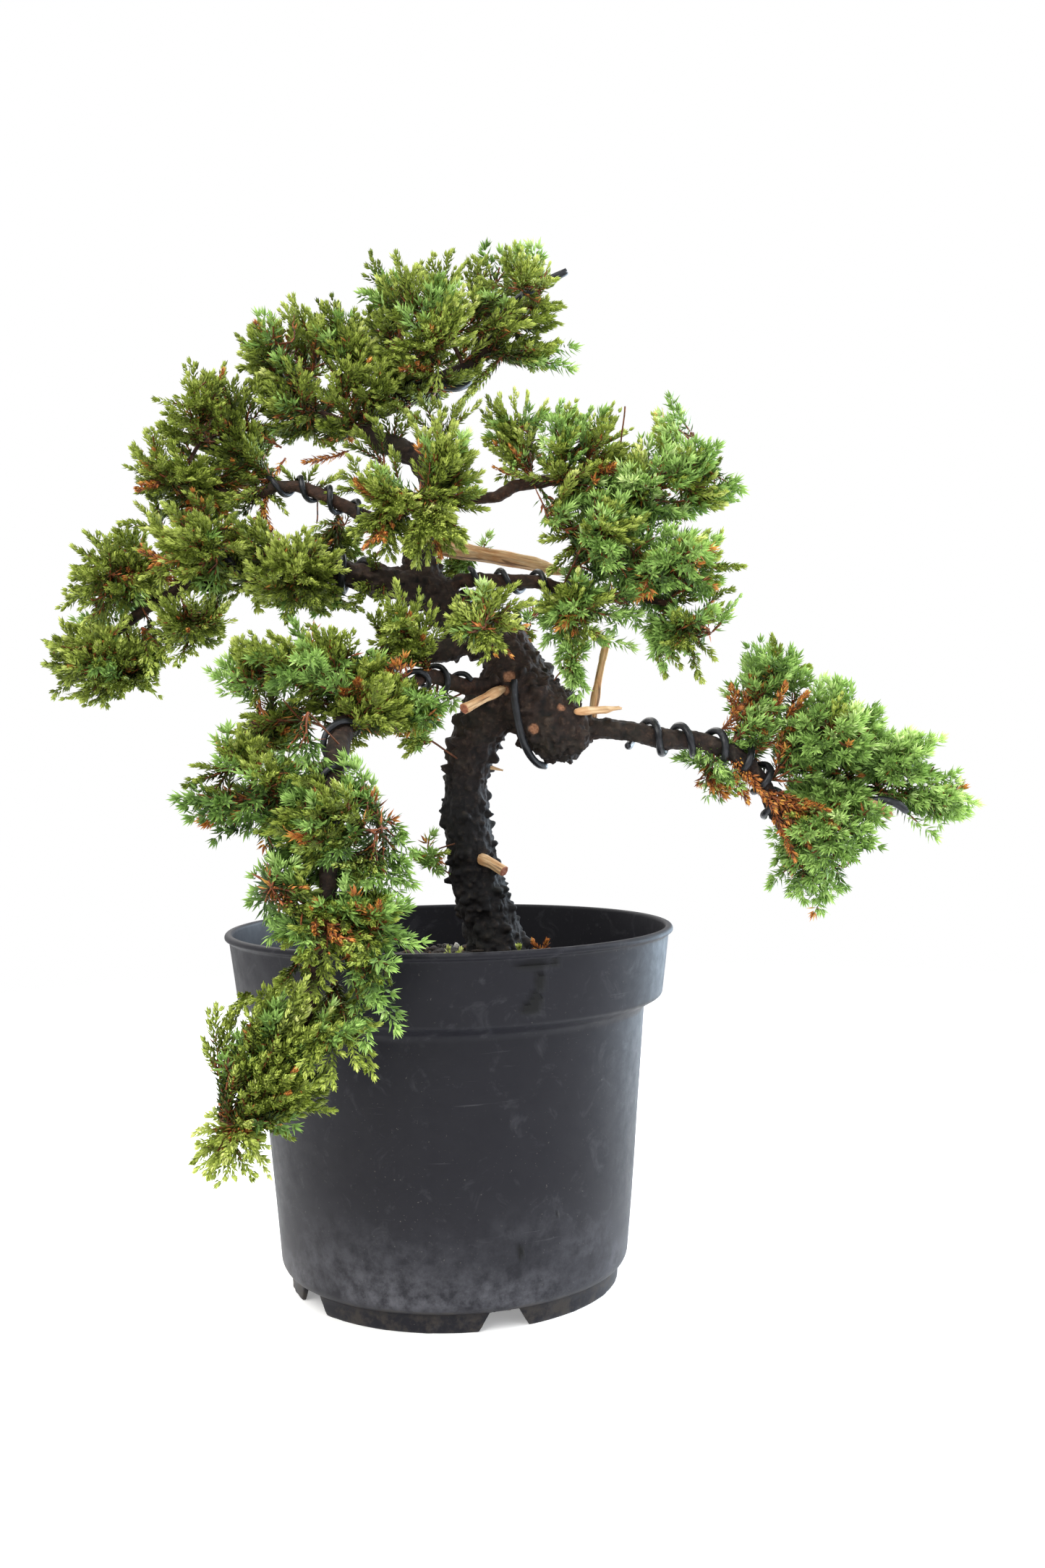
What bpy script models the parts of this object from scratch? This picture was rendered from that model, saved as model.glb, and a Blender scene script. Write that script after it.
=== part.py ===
"""Trained dwarf juniper in a black plastic nursery pot.

A leaning trunk rises from a mound of potting mix, bends over into a thick
elbow, and carries wired branches with pads of needle foliage.  One long
branch cascades over the front of the rim.  Lengths in the tables are in
millimetres, measured from the middle of the pot's foot.
"""

import math

import bmesh
import bpy
from mathutils import Matrix, Vector

MM = 0.001
GAP = 0.4                 # clearance between pieces that touch

# Pot
RIM_RADIUS = 100.0
POT_HEIGHT = 156.5
WALL = 1.6
BEAD_HEIGHT = 3.2
BEAD_PROUD = 1.9          # how far the rim bead stands out from the band
BAND_HEIGHT = 30.4
BAND_TAPER = 3.3
BAND_STEP = 8.2           # how far the body is set in below the band
BODY_FOOT_SHARE = 0.776   # body radius just above the rounded bottom edge, of the rim's
FOOT_SHARE = 0.733        # foot ring's radius, of the rim's
FOOT_HEIGHT = 8.0
FOOT_WALL = 2.2
FLOOR_THICKNESS = 2.2
EDGE_ROUND = 6.0
TURN_STEPS = 48

NOTCH_COUNT = 5
NOTCH_TOP_WIDTH = 12.5
NOTCH_BOTTOM_WIDTH = 22.0
NOTCH_FIRST_ANGLE = 15.4  # degrees from the front, towards +X
DRAIN_HOLE_RADIUS = 5.5
DRAIN_CIRCLE_SHARE = 0.56

# Potting mix
SOIL_EDGE_DROP = 27.5     # how far the mix lies below the rim at the wall
SOIL_MOUND = 16.0         # how much higher it is in the middle

# The stems and pads below are placed for this mix level at the trunk and this rim
PLANTED_LEVEL = 145.0
PLANTED_RIM = 100.0
FORWARD_FROM = 20.0       # how far forward a place is before a wider rim moves it
FORWARD_SPAN = 60.0

# Wire
WIRE_RADIUS = 1.75
FINE_WIRE_RADIUS = 1.25

# Stems: x, y, z, radius
LOWER_TRUNK = [
    (25, 6, 122, 14.0), (23, 6, 137, 14.6), (20, 6, 148, 13.6), (17.5, 6, 160, 12.3),
    (14, 5, 170, 12.2), (11.5, 4, 182, 11.9), (8.8, 3, 195, 11.0), (6.8, 3, 208, 10.2),
    (7.6, 3, 219, 9.8), (9.8, 3, 230, 9.9), (13.5, 3, 241, 11.2), (19, 3, 252, 12.6),
    (26, 2, 262, 13.2), (31, 2, 269, 12.0),
]
ELBOW = [
    (21, 2, 274, 9.0), (25, 1, 270, 13.0), (31, 0, 263.5, 14.4), (39, -3, 255, 15.0),
    (47, -6, 246, 15.3), (53, -8, 239.5, 13.8), (56.5, -9, 235, 10.0), (58, -9.5, 232.5, 5.0),
]
UPPER_TRUNK = [
    (36, 1, 262, 12.0), (32, 2, 272, 13.0), (27, 2, 280, 12.0), (18, 1, 287, 11.0),
    (8, 0, 294, 10.1), (-1, 0, 302, 9.5), (-8.5, 0, 311, 8.7), (-12, 0, 321, 7.8),
    (-10.4, 0, 331, 6.9), (-5.5, 0, 340, 6.5), (-3, 0, 349, 6.2), (-5, 0, 358, 5.8),
    (-11, 0, 366.5, 5.2), (-20, 0, 371.5, 4.9), (-29, 0, 374, 4.6), (-35, 0, 380.5, 4.3),
    (-30, 0, 388, 4.2), (-15.5, 0, 394.6, 4.2), (-2.4, 0, 400, 3.9), (11, 0, 406, 3.6),
    (20, 0, 415, 2.9), (31, 0, 426, 2.0), (38, 0, 434, 1.3),
]

RIGHT_BRANCH = [
    (52, -7, 246, 4.8), (66.8, -7, 243.7, 4.8), (82.5, -6, 242.5, 4.7), (97.3, -5, 238.8, 4.5),
    (111.3, -4, 237.9, 4.5), (126.6, -3, 233.8, 4.4), (135.6, -2, 227, 4.2),
    (143.5, 0, 218.4, 3.9), (147.5, 2, 208, 3.4), (154, 3, 196, 2.4), (162, 3, 183, 1.3),
]
RIGHT_FORK = [
    (148, 1, 206, 2.6), (155, 4, 207, 2.6), (168, 8, 212, 2.4), (184, 10, 216, 2.2),
    (200, 9, 213, 1.9), (215, 8, 208.5, 1.5), (230, 6, 206.5, 1.0),
]
CASCADE_BRANCH = [
    (14, 0, 284, 5.6), (3, -3, 281, 5.6), (-8.5, -6, 279, 5.6), (-20, -10, 277, 5.5),
    (-28, -20, 272, 5.2), (-34, -36, 264, 4.9), (-38.5, -56, 254, 4.6), (-41, -78, 244, 4.4),
    (-42.5, -96, 234, 4.1), (-43.7, -109, 221, 3.8), (-43.4, -116, 207, 3.5),
    (-44, -120, 191.6, 3.2), (-45.6, -122, 173, 2.9), (-48.5, -122, 155, 2.6),
    (-53, -120, 139, 2.4), (-60.6, -118, 124, 2.1), (-71, -116, 110, 1.6), (-80, -114, 96, 1.1),
]
LOWER_LEFT_BRANCH = [
    (28, -5, 265, 4.4), (16, -12, 262.8, 3.9), (7, -18, 263.4, 3.5), (-1.6, -24, 266, 3.3),
    (-9, -31, 267, 3.0), (-15, -41, 263, 2.7), (-18, -53, 257.5, 2.3), (-21, -66, 252, 1.6),
]
LEFT_ARM = [
    (-4, 0, 307, 7.6), (-18, -4, 309.6, 7.4), (-32, -8, 310.8, 6.8), (-44.5, -12, 313.6, 5.7),
    (-55, -14, 318, 4.8), (-68, -14, 320, 4.1), (-84, -12, 318.7, 3.8), (-100, -8, 315, 3.5),
    (-117, -2, 309.5, 3.2), (-134, 4, 300.8, 2.6), (-151, 8, 289, 2.0), (-164, 10, 278, 1.3),
]
LEFT_UPPER_BRANCH = [
    (-8, 0, 336, 3.3), (-17, -4, 335.4, 3.2), (-27, -8, 336.7, 3.1), (-36, -10, 339.5, 3.1),
    (-46, -10, 345, 2.9), (-55, -9, 349.5, 2.7), (-65, -7, 353, 2.6), (-74.5, -5, 353.4, 2.6),
    (-84.5, -3, 349.4, 2.4), (-95, 0, 349.4, 2.3), (-106, 2, 356, 2.0), (-113, 3, 366, 1.2),
]
CROWN_LEFT_BRANCH = [
    (-30, 1, 377, 3.0), (-42.7, 4, 381.7, 2.6), (-54.3, 7, 387.6, 2.3), (-64, 9, 398, 2.0),
    (-74, 11, 410, 1.3),
]
RIGHT_MIDDLE_BRANCH = [
    (-6, 0, 298, 3.9), (0, -2, 306.5, 3.6), (6.4, -4, 311, 3.2), (16, -5, 311.4, 3.1),
    (27.4, -6, 310.2, 3.1), (41.2, -7, 309.9, 2.9), (52.4, -8, 306.2, 2.9),
    (61.7, -9, 302.7, 2.6), (72, -12, 301.2, 2.2), (84.4, -16, 301.7, 1.8), (98, -20, 298, 1.2),
]
RIGHT_UPPER_BRANCH = [
    (-3, 0, 347, 2.6), (12, -3, 347.4, 2.4), (23.5, -6, 347.8, 2.6), (32, -8, 352.3, 2.8),
    (40, -9, 353.5, 2.8), (52, -10, 355, 2.5), (65, -10, 358.5, 2.2), (80, -9, 359, 1.8),
    (94, -8, 356, 1.3),
]
CENTRE_TWIG = [
    (-5, 0, 357, 2.2), (-6, -12, 359, 1.8), (-3, -24, 357, 1.5), (0, -36, 352, 1.2),
    (-8, -41, 343, 1.0),
]
FRONT_TWIG = [
    (23, 0, 282, 2.2), (20, -14, 287, 2.0), (18, -26, 290, 1.7), (17, -38, 290, 1.2),
]

# Dead wood: bare, bleached stubs
TALL_JIN = [
    (65, -5, 244, 2.2), (66, -4, 254, 2.0), (68.5, -3, 266, 1.9), (72.5, -2, 284.2, 1.5),
]
FRONT_JIN = [
    (27, -9, 263, 2.3), (20, -19, 259.5, 2.2), (7.4, -32, 252.6, 2.3),
]
SPLINTER_JIN = [
    (56, -19, 251.0, 1.2), (62, -17, 251.6, 1.9), (70, -14.5, 252, 1.9), (76, -12, 252.8, 0.9),
]
UPPER_JIN = [
    (-7, 3, 329, 4.4), (8, 4.5, 325.5, 4.0), (28, 7, 322.4, 3.6), (41, 8, 319.8, 3.3),
    (50, 9, 317, 2.4), (55, 9, 315.5, 1.0),
]
TRUNK_STUB = [(13, -5, 187, 2.6), (19, -11.5, 184.5, 2.6), (24, -16.5, 181.5, 2.6)]
TRUNK_SLIVER = [(14, 2, 229, 1.3), (19, 0, 227.4, 1.3), (24.5, -1, 226, 0.7)]

# Single shoots of foliage
TRUNK_SPRIG = [
    (3, 0, 183, 0.8), (-5, -3, 184, 0.9), (-9, -4, 185.5, 3.2), (-13, -5, 187.5, 3.0),
    (-16, -5, 189.5, 0.8),
]
HANGING_SPRIG = [
    (8, -15, 258.5, 0.8), (2, -15, 258.4, 0.9), (-4, -14, 257, 1.2), (-9, -14, 252, 4.5),
    (-13, -14, 246, 6.0), (-15, -14, 239, 5.0), (-16, -14, 233, 0.9),
]
DROOPING_SPRIG = [
    (60, -22, 284, 0.8), (57.5, -21, 278, 4.0), (55.5, -19, 271, 4.8), (54, -17, 263, 1.0),
]
BACK_SPRIG = [
    (31, 11, 277, 0.9), (34, 19, 284, 1.0), (37, 24, 291, 4.5), (41, 28, 298, 6.0),
    (45, 30, 304, 0.9),
]
HIGH_SPRIG = [
    (-4, 6, 309, 0.8), (0, 12, 313, 1.0), (5, 17, 318, 4.2), (11, 20, 323, 5.0),
    (17, 22, 328, 0.8),
]

# Foliage pads: each a list of rounded masses (x, y, z, half-width, half-depth, half-height)
PADS = {
    "foliage_apex": [
        (34, 0, 438, 25, 31, 24), (-6, -4, 421, 30, 36, 28), (52, -3, 411, 19, 13, 9),
        (-19, -3, 437, 17, 25, 16)],
    "foliage_crown_left": [
        (-66, 10, 415, 25, 32, 23), (-56, -2, 391, 26, 24, 20), (-31, -8, 404, 17, 20, 18),
        (-43, -3, 417, 17, 24, 17)],
    "foliage_upper_left": [
        (-107, 6, 386, 22, 32, 22), (-115, 4, 358, 25, 34, 20), (-91, 5, 373, 14, 26, 18)],
    "foliage_left_arm": [
        (-103, -18, 324, 29, 28, 20), (-67, -25, 311, 24, 24, 19), (-113, -8, 297, 18, 22, 18)],
    "foliage_left_tip": [
        (-148, 4, 316, 24, 28, 23), (-155, 10, 279, 27, 30, 20)],
    "foliage_left_inner": [(-50, 15, 331, 13, 12, 11)],
    "foliage_centre_high": [
        (-25, -40, 339, 16, 14, 22), (3, -41, 355, 14, 14, 18), (-4, -47, 325, 17, 13, 16),
        (13, -39, 338, 11, 11, 11)],
    "foliage_centre_right": [(17, -43, 290, 17, 14, 17)],
    "foliage_centre_left": [(-18, -49, 287, 15, 13, 17)],
    "foliage_lower_left": [
        (-53, -70, 268, 29, 26, 18), (-29, -73, 252, 23, 22, 18), (-76, -60, 246, 20, 20, 16),
        (-82, -62, 268, 17, 18, 15)],
    "foliage_cascade_upper": [
        (-76, -94, 217, 26, 21, 17), (-40, -112, 206, 29, 23, 27), (-87, -91, 234, 15, 17, 13)],
    "foliage_cascade_middle": [
        (-40, -120, 168, 27, 19, 18), (-63, -116, 182, 18, 16, 16)],
    "foliage_cascade_lower": [
        (-50, -122, 139, 27, 19, 15), (-63, -118, 112, 22, 18, 16), (-77, -116, 127, 16, 15, 16)],
    "foliage_cascade_tip": [(-83, -114, 90, 14, 14, 18)],
    "foliage_right_upper": [
        (33, -8, 378, 16, 19, 19), (62, -12, 364, 24, 24, 24)],
    "foliage_right_crown": [
        (109, -6, 365, 18, 29, 27), (88, -8, 352, 19, 26, 21), (121, -6, 351, 14, 18, 10)],
    "foliage_right_middle": [
        (70, -18, 326, 29, 30, 19), (102, -20, 313, 25, 30, 20), (57, -26, 296, 17, 16, 17),
        (108, -23, 286, 20, 20, 17), (47, -18, 338, 15, 22, 17), (128, -21, 290, 15, 13, 8)],
    "foliage_right_back": [
        (141, 6, 254, 22, 26, 22), (175, 0, 243, 27, 32, 22), (123, 16, 226, 15, 14, 15),
        (149, 6, 265, 16, 22, 17)],
    "foliage_right_low": [(174, 4, 193, 27, 31, 30)],
    "foliage_right_tip": [
        (210, 2, 226, 24, 22, 17), (228, 6, 207, 15, 15, 12)],
}

BARK = ((0.028, 0.019, 0.014), 0.9, 0.0)
NEEDLES = ((0.07, 0.17, 0.03), 0.65, 0.0)
BLEACHED_WOOD = ((0.55, 0.33, 0.15), 0.75, 0.0)
BLACK_WIRE = ((0.012, 0.013, 0.016), 0.35, 0.8)
POT_PLASTIC = ((0.022, 0.024, 0.03), 0.5, 0.0)
POTTING_MIX = ((0.02, 0.013, 0.008), 0.95, 0.0)


def clear_scene():
    for obj in list(bpy.data.objects):
        bpy.data.objects.remove(obj, do_unlink=True)


def new_collection(name):
    collection = bpy.data.collections.new(name)
    bpy.context.scene.collection.children.link(collection)
    return collection


def finish(name, look):
    colour, roughness, metallic = look
    material = bpy.data.materials.new(name)
    material.use_nodes = True
    shader = material.node_tree.nodes["Principled BSDF"]
    shader.inputs["Base Color"].default_value = (*colour, 1.0)
    shader.inputs["Roughness"].default_value = roughness
    shader.inputs["Metallic"].default_value = metallic
    return material


def place(name, mesh, collection, material=None):
    """Wrap a mesh in an object of the same name."""
    mesh.name = name
    obj = bpy.data.objects.new(name, mesh)
    collection.objects.link(obj)
    if material:
        mesh.materials.clear()
        mesh.materials.append(material)
    return obj


def tidy_mesh(mesh):
    """Weld the seams of a swept or turned shape and face it outwards."""
    work = bmesh.new()
    work.from_mesh(mesh)
    bmesh.ops.remove_doubles(work, verts=work.verts, dist=0.00001)
    bmesh.ops.recalc_face_normals(work, faces=work.faces)
    work.to_mesh(mesh)
    work.free()


def spread(verts):
    """Size of the box around some vertices."""
    corners = [vert.co for vert in verts]
    low = Vector([min(corner[axis] for corner in corners) for axis in range(3)])
    high = Vector([max(corner[axis] for corner in corners) for axis in range(3)])
    return (high - low).length


def keep_largest(mesh):
    """Drop the crumbs that a cut can leave beside the main body."""
    work = bmesh.new()
    work.from_mesh(mesh)
    unseen = set(work.verts)
    bodies = []
    while unseen:
        start = unseen.pop()
        body = {start}
        edge_of_body = [start]
        while edge_of_body:
            vert = edge_of_body.pop()
            for edge in vert.link_edges:
                other = edge.other_vert(vert)
                if other in unseen:
                    unseen.remove(other)
                    body.add(other)
                    edge_of_body.append(other)
        bodies.append(body)
    bodies.sort(key=spread, reverse=True)
    for crumb in bodies[1:]:
        bmesh.ops.delete(work, geom=list(crumb), context="VERTS")
    work.to_mesh(mesh)
    work.free()


def bake_mesh(obj):
    """A mesh with the object's modifiers and place worked in."""
    graph = bpy.context.evaluated_depsgraph_get()
    mesh = bpy.data.meshes.new_from_object(obj.evaluated_get(graph))
    mesh.transform(obj.matrix_world)
    return mesh


def combine(obj, others, operation):
    """Union with, or cut away, other objects, and keep the result as a plain mesh."""
    if not others:
        return
    for other in others:
        modifier = obj.modifiers.new(operation.lower(), "BOOLEAN")
        modifier.operation = operation
        modifier.solver = "EXACT"
        modifier.object = other
    bpy.context.view_layer.update()
    mesh = bake_mesh(obj)
    obj.modifiers.clear()
    obj.matrix_world = Matrix.Identity(4)
    old = obj.data
    name = old.name
    obj.data = mesh
    bpy.data.meshes.remove(old)
    mesh.name = name
    keep_largest(mesh)


def seated(place):
    """A place in the tables, moved with the mix's level and, over the rim, with the rim."""
    x, y, z = place
    forward = min(max((-y - FORWARD_FROM) / FORWARD_SPAN, 0.0), 1.0)
    level = POT_HEIGHT - SOIL_EDGE_DROP + SOIL_MOUND
    return Vector((x, y - (RIM_RADIUS - PLANTED_RIM) * forward, z + level - PLANTED_LEVEL))


def smooth_route(route, per_span):
    """Points of a smooth line through the route, with the radius eased along it."""
    line = [Vector((*seated(p[:3]), 0)) for p in route]
    widths = [p[3] for p in route]
    for vector, width in zip(line, widths):
        vector[3] = width
    line = [2 * line[0] - line[1]] + line + [2 * line[-1] - line[-2]]
    result = []
    for a, b, c, d in zip(line, line[1:], line[2:], line[3:]):
        for step in range(per_span):
            t = step / per_span
            point = b + (c - a) * (t / 2)
            point += (a * 2 - b * 5 + c * 4 - d) * (t * t / 2)
            point += (b * 3 - a - c * 3 + d) * (t * t * t / 2)
            result.append(point)
    result.append(line[-2])
    return [(p.xyz, max(p[3], 0.3)) for p in result]


def curve_mesh(points, resolution):
    """Mesh of a round tube through (point, radius) pairs, in metres."""
    curve = bpy.data.curves.new("tube", "CURVE")
    curve.dimensions = "3D"
    curve.bevel_depth = 1.0
    curve.bevel_resolution = resolution
    curve.use_fill_caps = True
    spline = curve.splines.new("POLY")
    spline.points.add(len(points) - 1)
    for spot, (point, radius) in zip(spline.points, points):
        spot.co = (*(point * MM), 1.0)
        spot.radius = radius * MM
    obj = bpy.data.objects.new("tube", curve)
    bpy.context.scene.collection.objects.link(obj)
    bpy.context.view_layer.update()
    mesh = bpy.data.meshes.new_from_object(obj)
    bpy.data.objects.remove(obj, do_unlink=True)
    bpy.data.curves.remove(curve)
    tidy_mesh(mesh)
    return mesh


def lengthen(points, extra):
    """The same line run on a little at both ends."""
    (first, first_radius), (last, last_radius) = points[0], points[-1]
    start = first + (first - points[1][0]).normalized() * extra
    end = last + (last - points[-2][0]).normalized() * extra
    return [(start, first_radius)] + points[1:-1] + [(end, last_radius)]


def stem_mesh(route, grow=0.0, resolution=2):
    """A tapering stem, or the same stem grown all round to cut its clearance."""
    points = smooth_route(route, 1)
    if grow:
        points = [(point, radius + grow) for point, radius in lengthen(points, grow)]
    return curve_mesh(points, resolution)


def sleeve_mesh(route, wire):
    """Everything that a branch and the wire wound on it can reach."""
    flats = math.cos(math.pi / 8)
    points = lengthen(smooth_route(route, 2), 3 * GAP)
    thick = [(point, (radius + 2 * wire + 3 * GAP) / flats + GAP) for point, radius in points]
    return curve_mesh(thick, 2)


def wound_points(route, wire, turns, start, end, phase=0.0, free_end=()):
    """A wire's line around a stem, between two shares of the stem's length."""
    points = smooth_route(route, 8)
    tangents = []
    for index in range(len(points)):
        before = points[max(index - 1, 0)][0]
        after = points[min(index + 1, len(points) - 1)][0]
        tangents.append((after - before).normalized())
    side = tangents[0].orthogonal().normalized()
    sides = []
    for tangent in tangents:
        side = (side - tangent * side.dot(tangent)).normalized()
        sides.append(side)
    count = max(int(turns * 8), 6)
    result = []
    for step in range(count + 1):
        share = start + (end - start) * step / count
        index = min(int(share * (len(points) - 1)), len(points) - 2)
        rest = share * (len(points) - 1) - index
        centre = points[index][0].lerp(points[index + 1][0], rest)
        radius = points[index][1] * (1 - rest) + points[index + 1][1] * rest
        across = sides[index].lerp(sides[index + 1], rest).normalized()
        tangent = tangents[index].lerp(tangents[index + 1], rest).normalized()
        angle = math.radians(phase) + 2 * math.pi * turns * step / count
        out = Matrix.Rotation(angle, 3, tangent) @ across
        reach = (radius + wire + GAP) / math.cos(math.pi / 8)
        result.append(centre + out * reach)
    return result + [seated(point) for point in free_end]


def pad_mesh(masses, collection, grow=0.0):
    """Rounded masses joined into one closed body."""
    bodies = []
    for x, y, z, half_width, half_depth, half_height in masses:
        bpy.ops.mesh.primitive_ico_sphere_add(subdivisions=2, radius=1.0)
        ball = bpy.context.object
        size = (half_width + grow, half_depth + grow, half_height + grow)
        mesh = ball.data
        mesh.transform(Matrix.LocRotScale(seated((x, y, z)) * MM, None, Vector(size) * MM))
        bpy.data.objects.remove(ball, do_unlink=True)
        bodies.append(place("mass", mesh, collection))
    first = bodies[0]
    combine(first, bodies[1:], "UNION")
    mesh = first.data.copy()
    for body in bodies:
        bpy.data.objects.remove(body, do_unlink=True)
    return mesh


def as_cutter(name, mesh, cutters):
    cutter = place(name, mesh, cutters)
    cutter.display_type = "WIRE"
    cutter.hide_render = True
    return cutter


def bounds(obj):
    corners = [vert.co for vert in obj.data.vertices]
    low = [min(corner[axis] for corner in corners) for axis in range(3)]
    high = [max(corner[axis] for corner in corners) for axis in range(3)]
    return low, high


def near(a, b):
    """Whether two objects' boxes overlap."""
    (low_a, high_a), (low_b, high_b) = bounds(a), bounds(b)
    return all(low_a[i] < high_b[i] and low_b[i] < high_a[i] for i in range(3))


def carve(obj, cutters):
    combine(obj, [cutter for cutter in cutters if near(obj, cutter)], "DIFFERENCE")


def turned_mesh(profile):
    """A closed half-outline turned about the vertical axis."""
    mesh = bpy.data.meshes.new("turned")
    mesh.from_pydata([(r * MM, 0, z * MM) for r, z in profile],
                     [(i, i + 1) for i in range(len(profile) - 1)], [])
    obj = bpy.data.objects.new("turned", mesh)
    bpy.context.scene.collection.objects.link(obj)
    screw = obj.modifiers.new("turn", "SCREW")
    screw.axis = "Z"
    screw.angle = 2 * math.pi
    screw.steps = TURN_STEPS
    screw.render_steps = TURN_STEPS
    screw.use_merge_vertices = True
    screw.merge_threshold = 0.00001
    bpy.context.view_layer.update()
    result = bake_mesh(obj)
    bpy.data.objects.remove(obj, do_unlink=True)
    tidy_mesh(result)
    return result


def pot_wall():
    """Radii and heights shared by the pot and the mix inside it."""
    band_top = RIM_RADIUS - BEAD_PROUD
    band_foot = band_top - BAND_TAPER
    band_z = POT_HEIGHT - BAND_HEIGHT
    return {
        "band_top": band_top,
        "band_foot": band_foot,
        "band_z": band_z,
        "body_top": band_foot - BAND_STEP,
        "body_z": band_z - BAND_STEP * 0.6,
        "edge_z": FOOT_HEIGHT + EDGE_ROUND,
        "floor_z": FOOT_HEIGHT + FLOOR_THICKNESS,
        "body_foot": BODY_FOOT_SHARE * RIM_RADIUS,
        "foot": FOOT_SHARE * RIM_RADIUS,
    }


def pot_mesh():
    w = pot_wall()
    bead_z = POT_HEIGHT - BEAD_HEIGHT
    edge_depth = w["body_foot"] - w["foot"]
    edge = []
    for degrees in (0, 30, 60, 90):
        angle = math.radians(degrees)
        edge.append((w["foot"] + edge_depth * math.cos(angle),
                     w["edge_z"] - EDGE_ROUND * math.sin(angle)))
    foot_inner = w["foot"] - FOOT_WALL
    outside = [
        (RIM_RADIUS - 1.0, POT_HEIGHT), (RIM_RADIUS, POT_HEIGHT - 1.0),
        (RIM_RADIUS, bead_z + 0.8), (w["band_top"], bead_z),
        (w["band_foot"] + 0.1, w["band_z"] + 1.0), (w["band_foot"] - 0.9, w["band_z"]),
        (w["body_top"] + 1.4, w["body_z"] + 1.6), (w["body_top"], w["body_z"] - 0.6),
    ]
    underside = [
        (w["foot"] - 0.5, 0), (foot_inner, 0), (foot_inner, FOOT_HEIGHT), (0, FOOT_HEIGHT)]
    inside = [
        (0, w["floor_z"]), (w["body_foot"] - WALL - 3.0, w["floor_z"]),
        (w["body_foot"] - WALL, w["edge_z"]), (w["body_top"] - WALL, w["body_z"] + 0.4),
        (w["band_foot"] - WALL, w["band_z"] + 1.8), (w["band_top"] - WALL, POT_HEIGHT - 1.0),
        (w["band_top"] - WALL + 0.6, POT_HEIGHT),
    ]
    return turned_mesh(inside + outside + edge + underside)


def notch_cutter(angle, cutters):
    """A trapezium bar that runs out through the foot ring."""
    outline = bpy.data.curves.new("notch", "CURVE")
    outline.dimensions = "2D"
    outline.fill_mode = "BOTH"
    outline.extrude = 2.5 * FOOT_WALL * MM
    below = 1.0
    slope = (NOTCH_BOTTOM_WIDTH - NOTCH_TOP_WIDTH) / FOOT_HEIGHT
    half_top = NOTCH_TOP_WIDTH / 2
    half_low = NOTCH_BOTTOM_WIDTH / 2 + slope * below / 2
    top = FOOT_HEIGHT - 0.05
    corners = [(-half_low, -below), (half_low, -below), (half_top, top), (-half_top, top)]
    spline = outline.splines.new("POLY")
    spline.points.add(len(corners) - 1)
    for spot, (across, up) in zip(spline.points, corners):
        spot.co = (across * MM, up * MM, 0, 1)
    spline.use_cyclic_u = True
    bar = bpy.data.objects.new("notch", outline)
    bpy.context.scene.collection.objects.link(bar)
    bpy.context.view_layer.update()
    mesh = bpy.data.meshes.new_from_object(bar)
    bpy.data.objects.remove(bar, do_unlink=True)
    bpy.data.curves.remove(outline)
    tidy_mesh(mesh)
    stand = Matrix.Rotation(math.radians(90), 4, "X")
    out = Matrix.Translation((0, -(FOOT_SHARE * RIM_RADIUS - FOOT_WALL / 2) * MM, 0))
    turn = Matrix.Rotation(math.radians(angle), 4, "Z")
    mesh.transform(turn @ out @ stand)
    return as_cutter("notch_cutter", mesh, cutters)


def drain_cutter(angle, cutters):
    bpy.ops.mesh.primitive_cylinder_add(
        vertices=16, radius=DRAIN_HOLE_RADIUS * MM, depth=4 * FLOOR_THICKNESS * MM)
    rod = bpy.context.object
    mesh = rod.data
    turn = Matrix.Rotation(math.radians(angle), 4, "Z")
    circle = DRAIN_CIRCLE_SHARE * RIM_RADIUS
    out = Matrix.Translation(Vector((0, -circle, FOOT_HEIGHT + FLOOR_THICKNESS / 2)) * MM)
    mesh.transform(turn @ out)
    bpy.data.objects.remove(rod, do_unlink=True)
    return as_cutter("drain_cutter", mesh, cutters)


def build_pot(parts, cutters, material):
    pot = place("nursery_pot", pot_mesh(), parts, material)
    tools = []
    for index in range(NOTCH_COUNT):
        angle = NOTCH_FIRST_ANGLE + index * 360 / NOTCH_COUNT
        tools.append(notch_cutter(angle, cutters))
        tools.append(drain_cutter(angle, cutters))
    combine(pot, tools, "DIFFERENCE")


def below(level, outline):
    """The part of a falling outline from a level down."""
    lower = [point for point in outline if point[1] < level - 0.05]
    above = outline[-len(lower) - 1]
    share = (above[1] - level) / (above[1] - lower[0][1])
    return [(above[0] + (lower[0][0] - above[0]) * share, level)] + lower


def build_soil(parts, material, trunk_clearance):
    w = pot_wall()
    inset = WALL + GAP
    edge_top = POT_HEIGHT - SOIL_EDGE_DROP
    top = edge_top + SOIL_MOUND
    rim = w["band_foot"] - inset + 0.2
    wall = [
        (rim, POT_HEIGHT), (rim, w["band_z"] + 2.9), (rim - 0.3, w["band_z"] + 2.3),
        (w["body_top"] - inset, w["body_z"] + 0.9), (w["body_foot"] - inset, w["edge_z"])]
    profile = [
        (0, top), (0.2 * RIM_RADIUS, top - SOIL_MOUND * 0.03),
        (0.45 * RIM_RADIUS, top - SOIL_MOUND * 0.35), (0.7 * RIM_RADIUS, top - SOIL_MOUND * 0.73),
        *below(edge_top, wall),
        (w["body_foot"] - inset - 3.2, w["floor_z"] + GAP), (0, w["floor_z"] + GAP),
    ]
    soil = place("potting_mix", turned_mesh(profile), parts, material)
    carve(soil, [trunk_clearance])


def trunk_body(collection, grow=0.0):
    pieces = []
    for route in (LOWER_TRUNK, ELBOW, UPPER_TRUNK):
        mesh = stem_mesh(route, grow, 3)
        pieces.append(place("stem", mesh, collection))
    combine(pieces[0], pieces[1:], "UNION")
    mesh = pieces[0].data.copy()
    for piece in pieces:
        bpy.data.objects.remove(piece, do_unlink=True)
    return mesh


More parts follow.
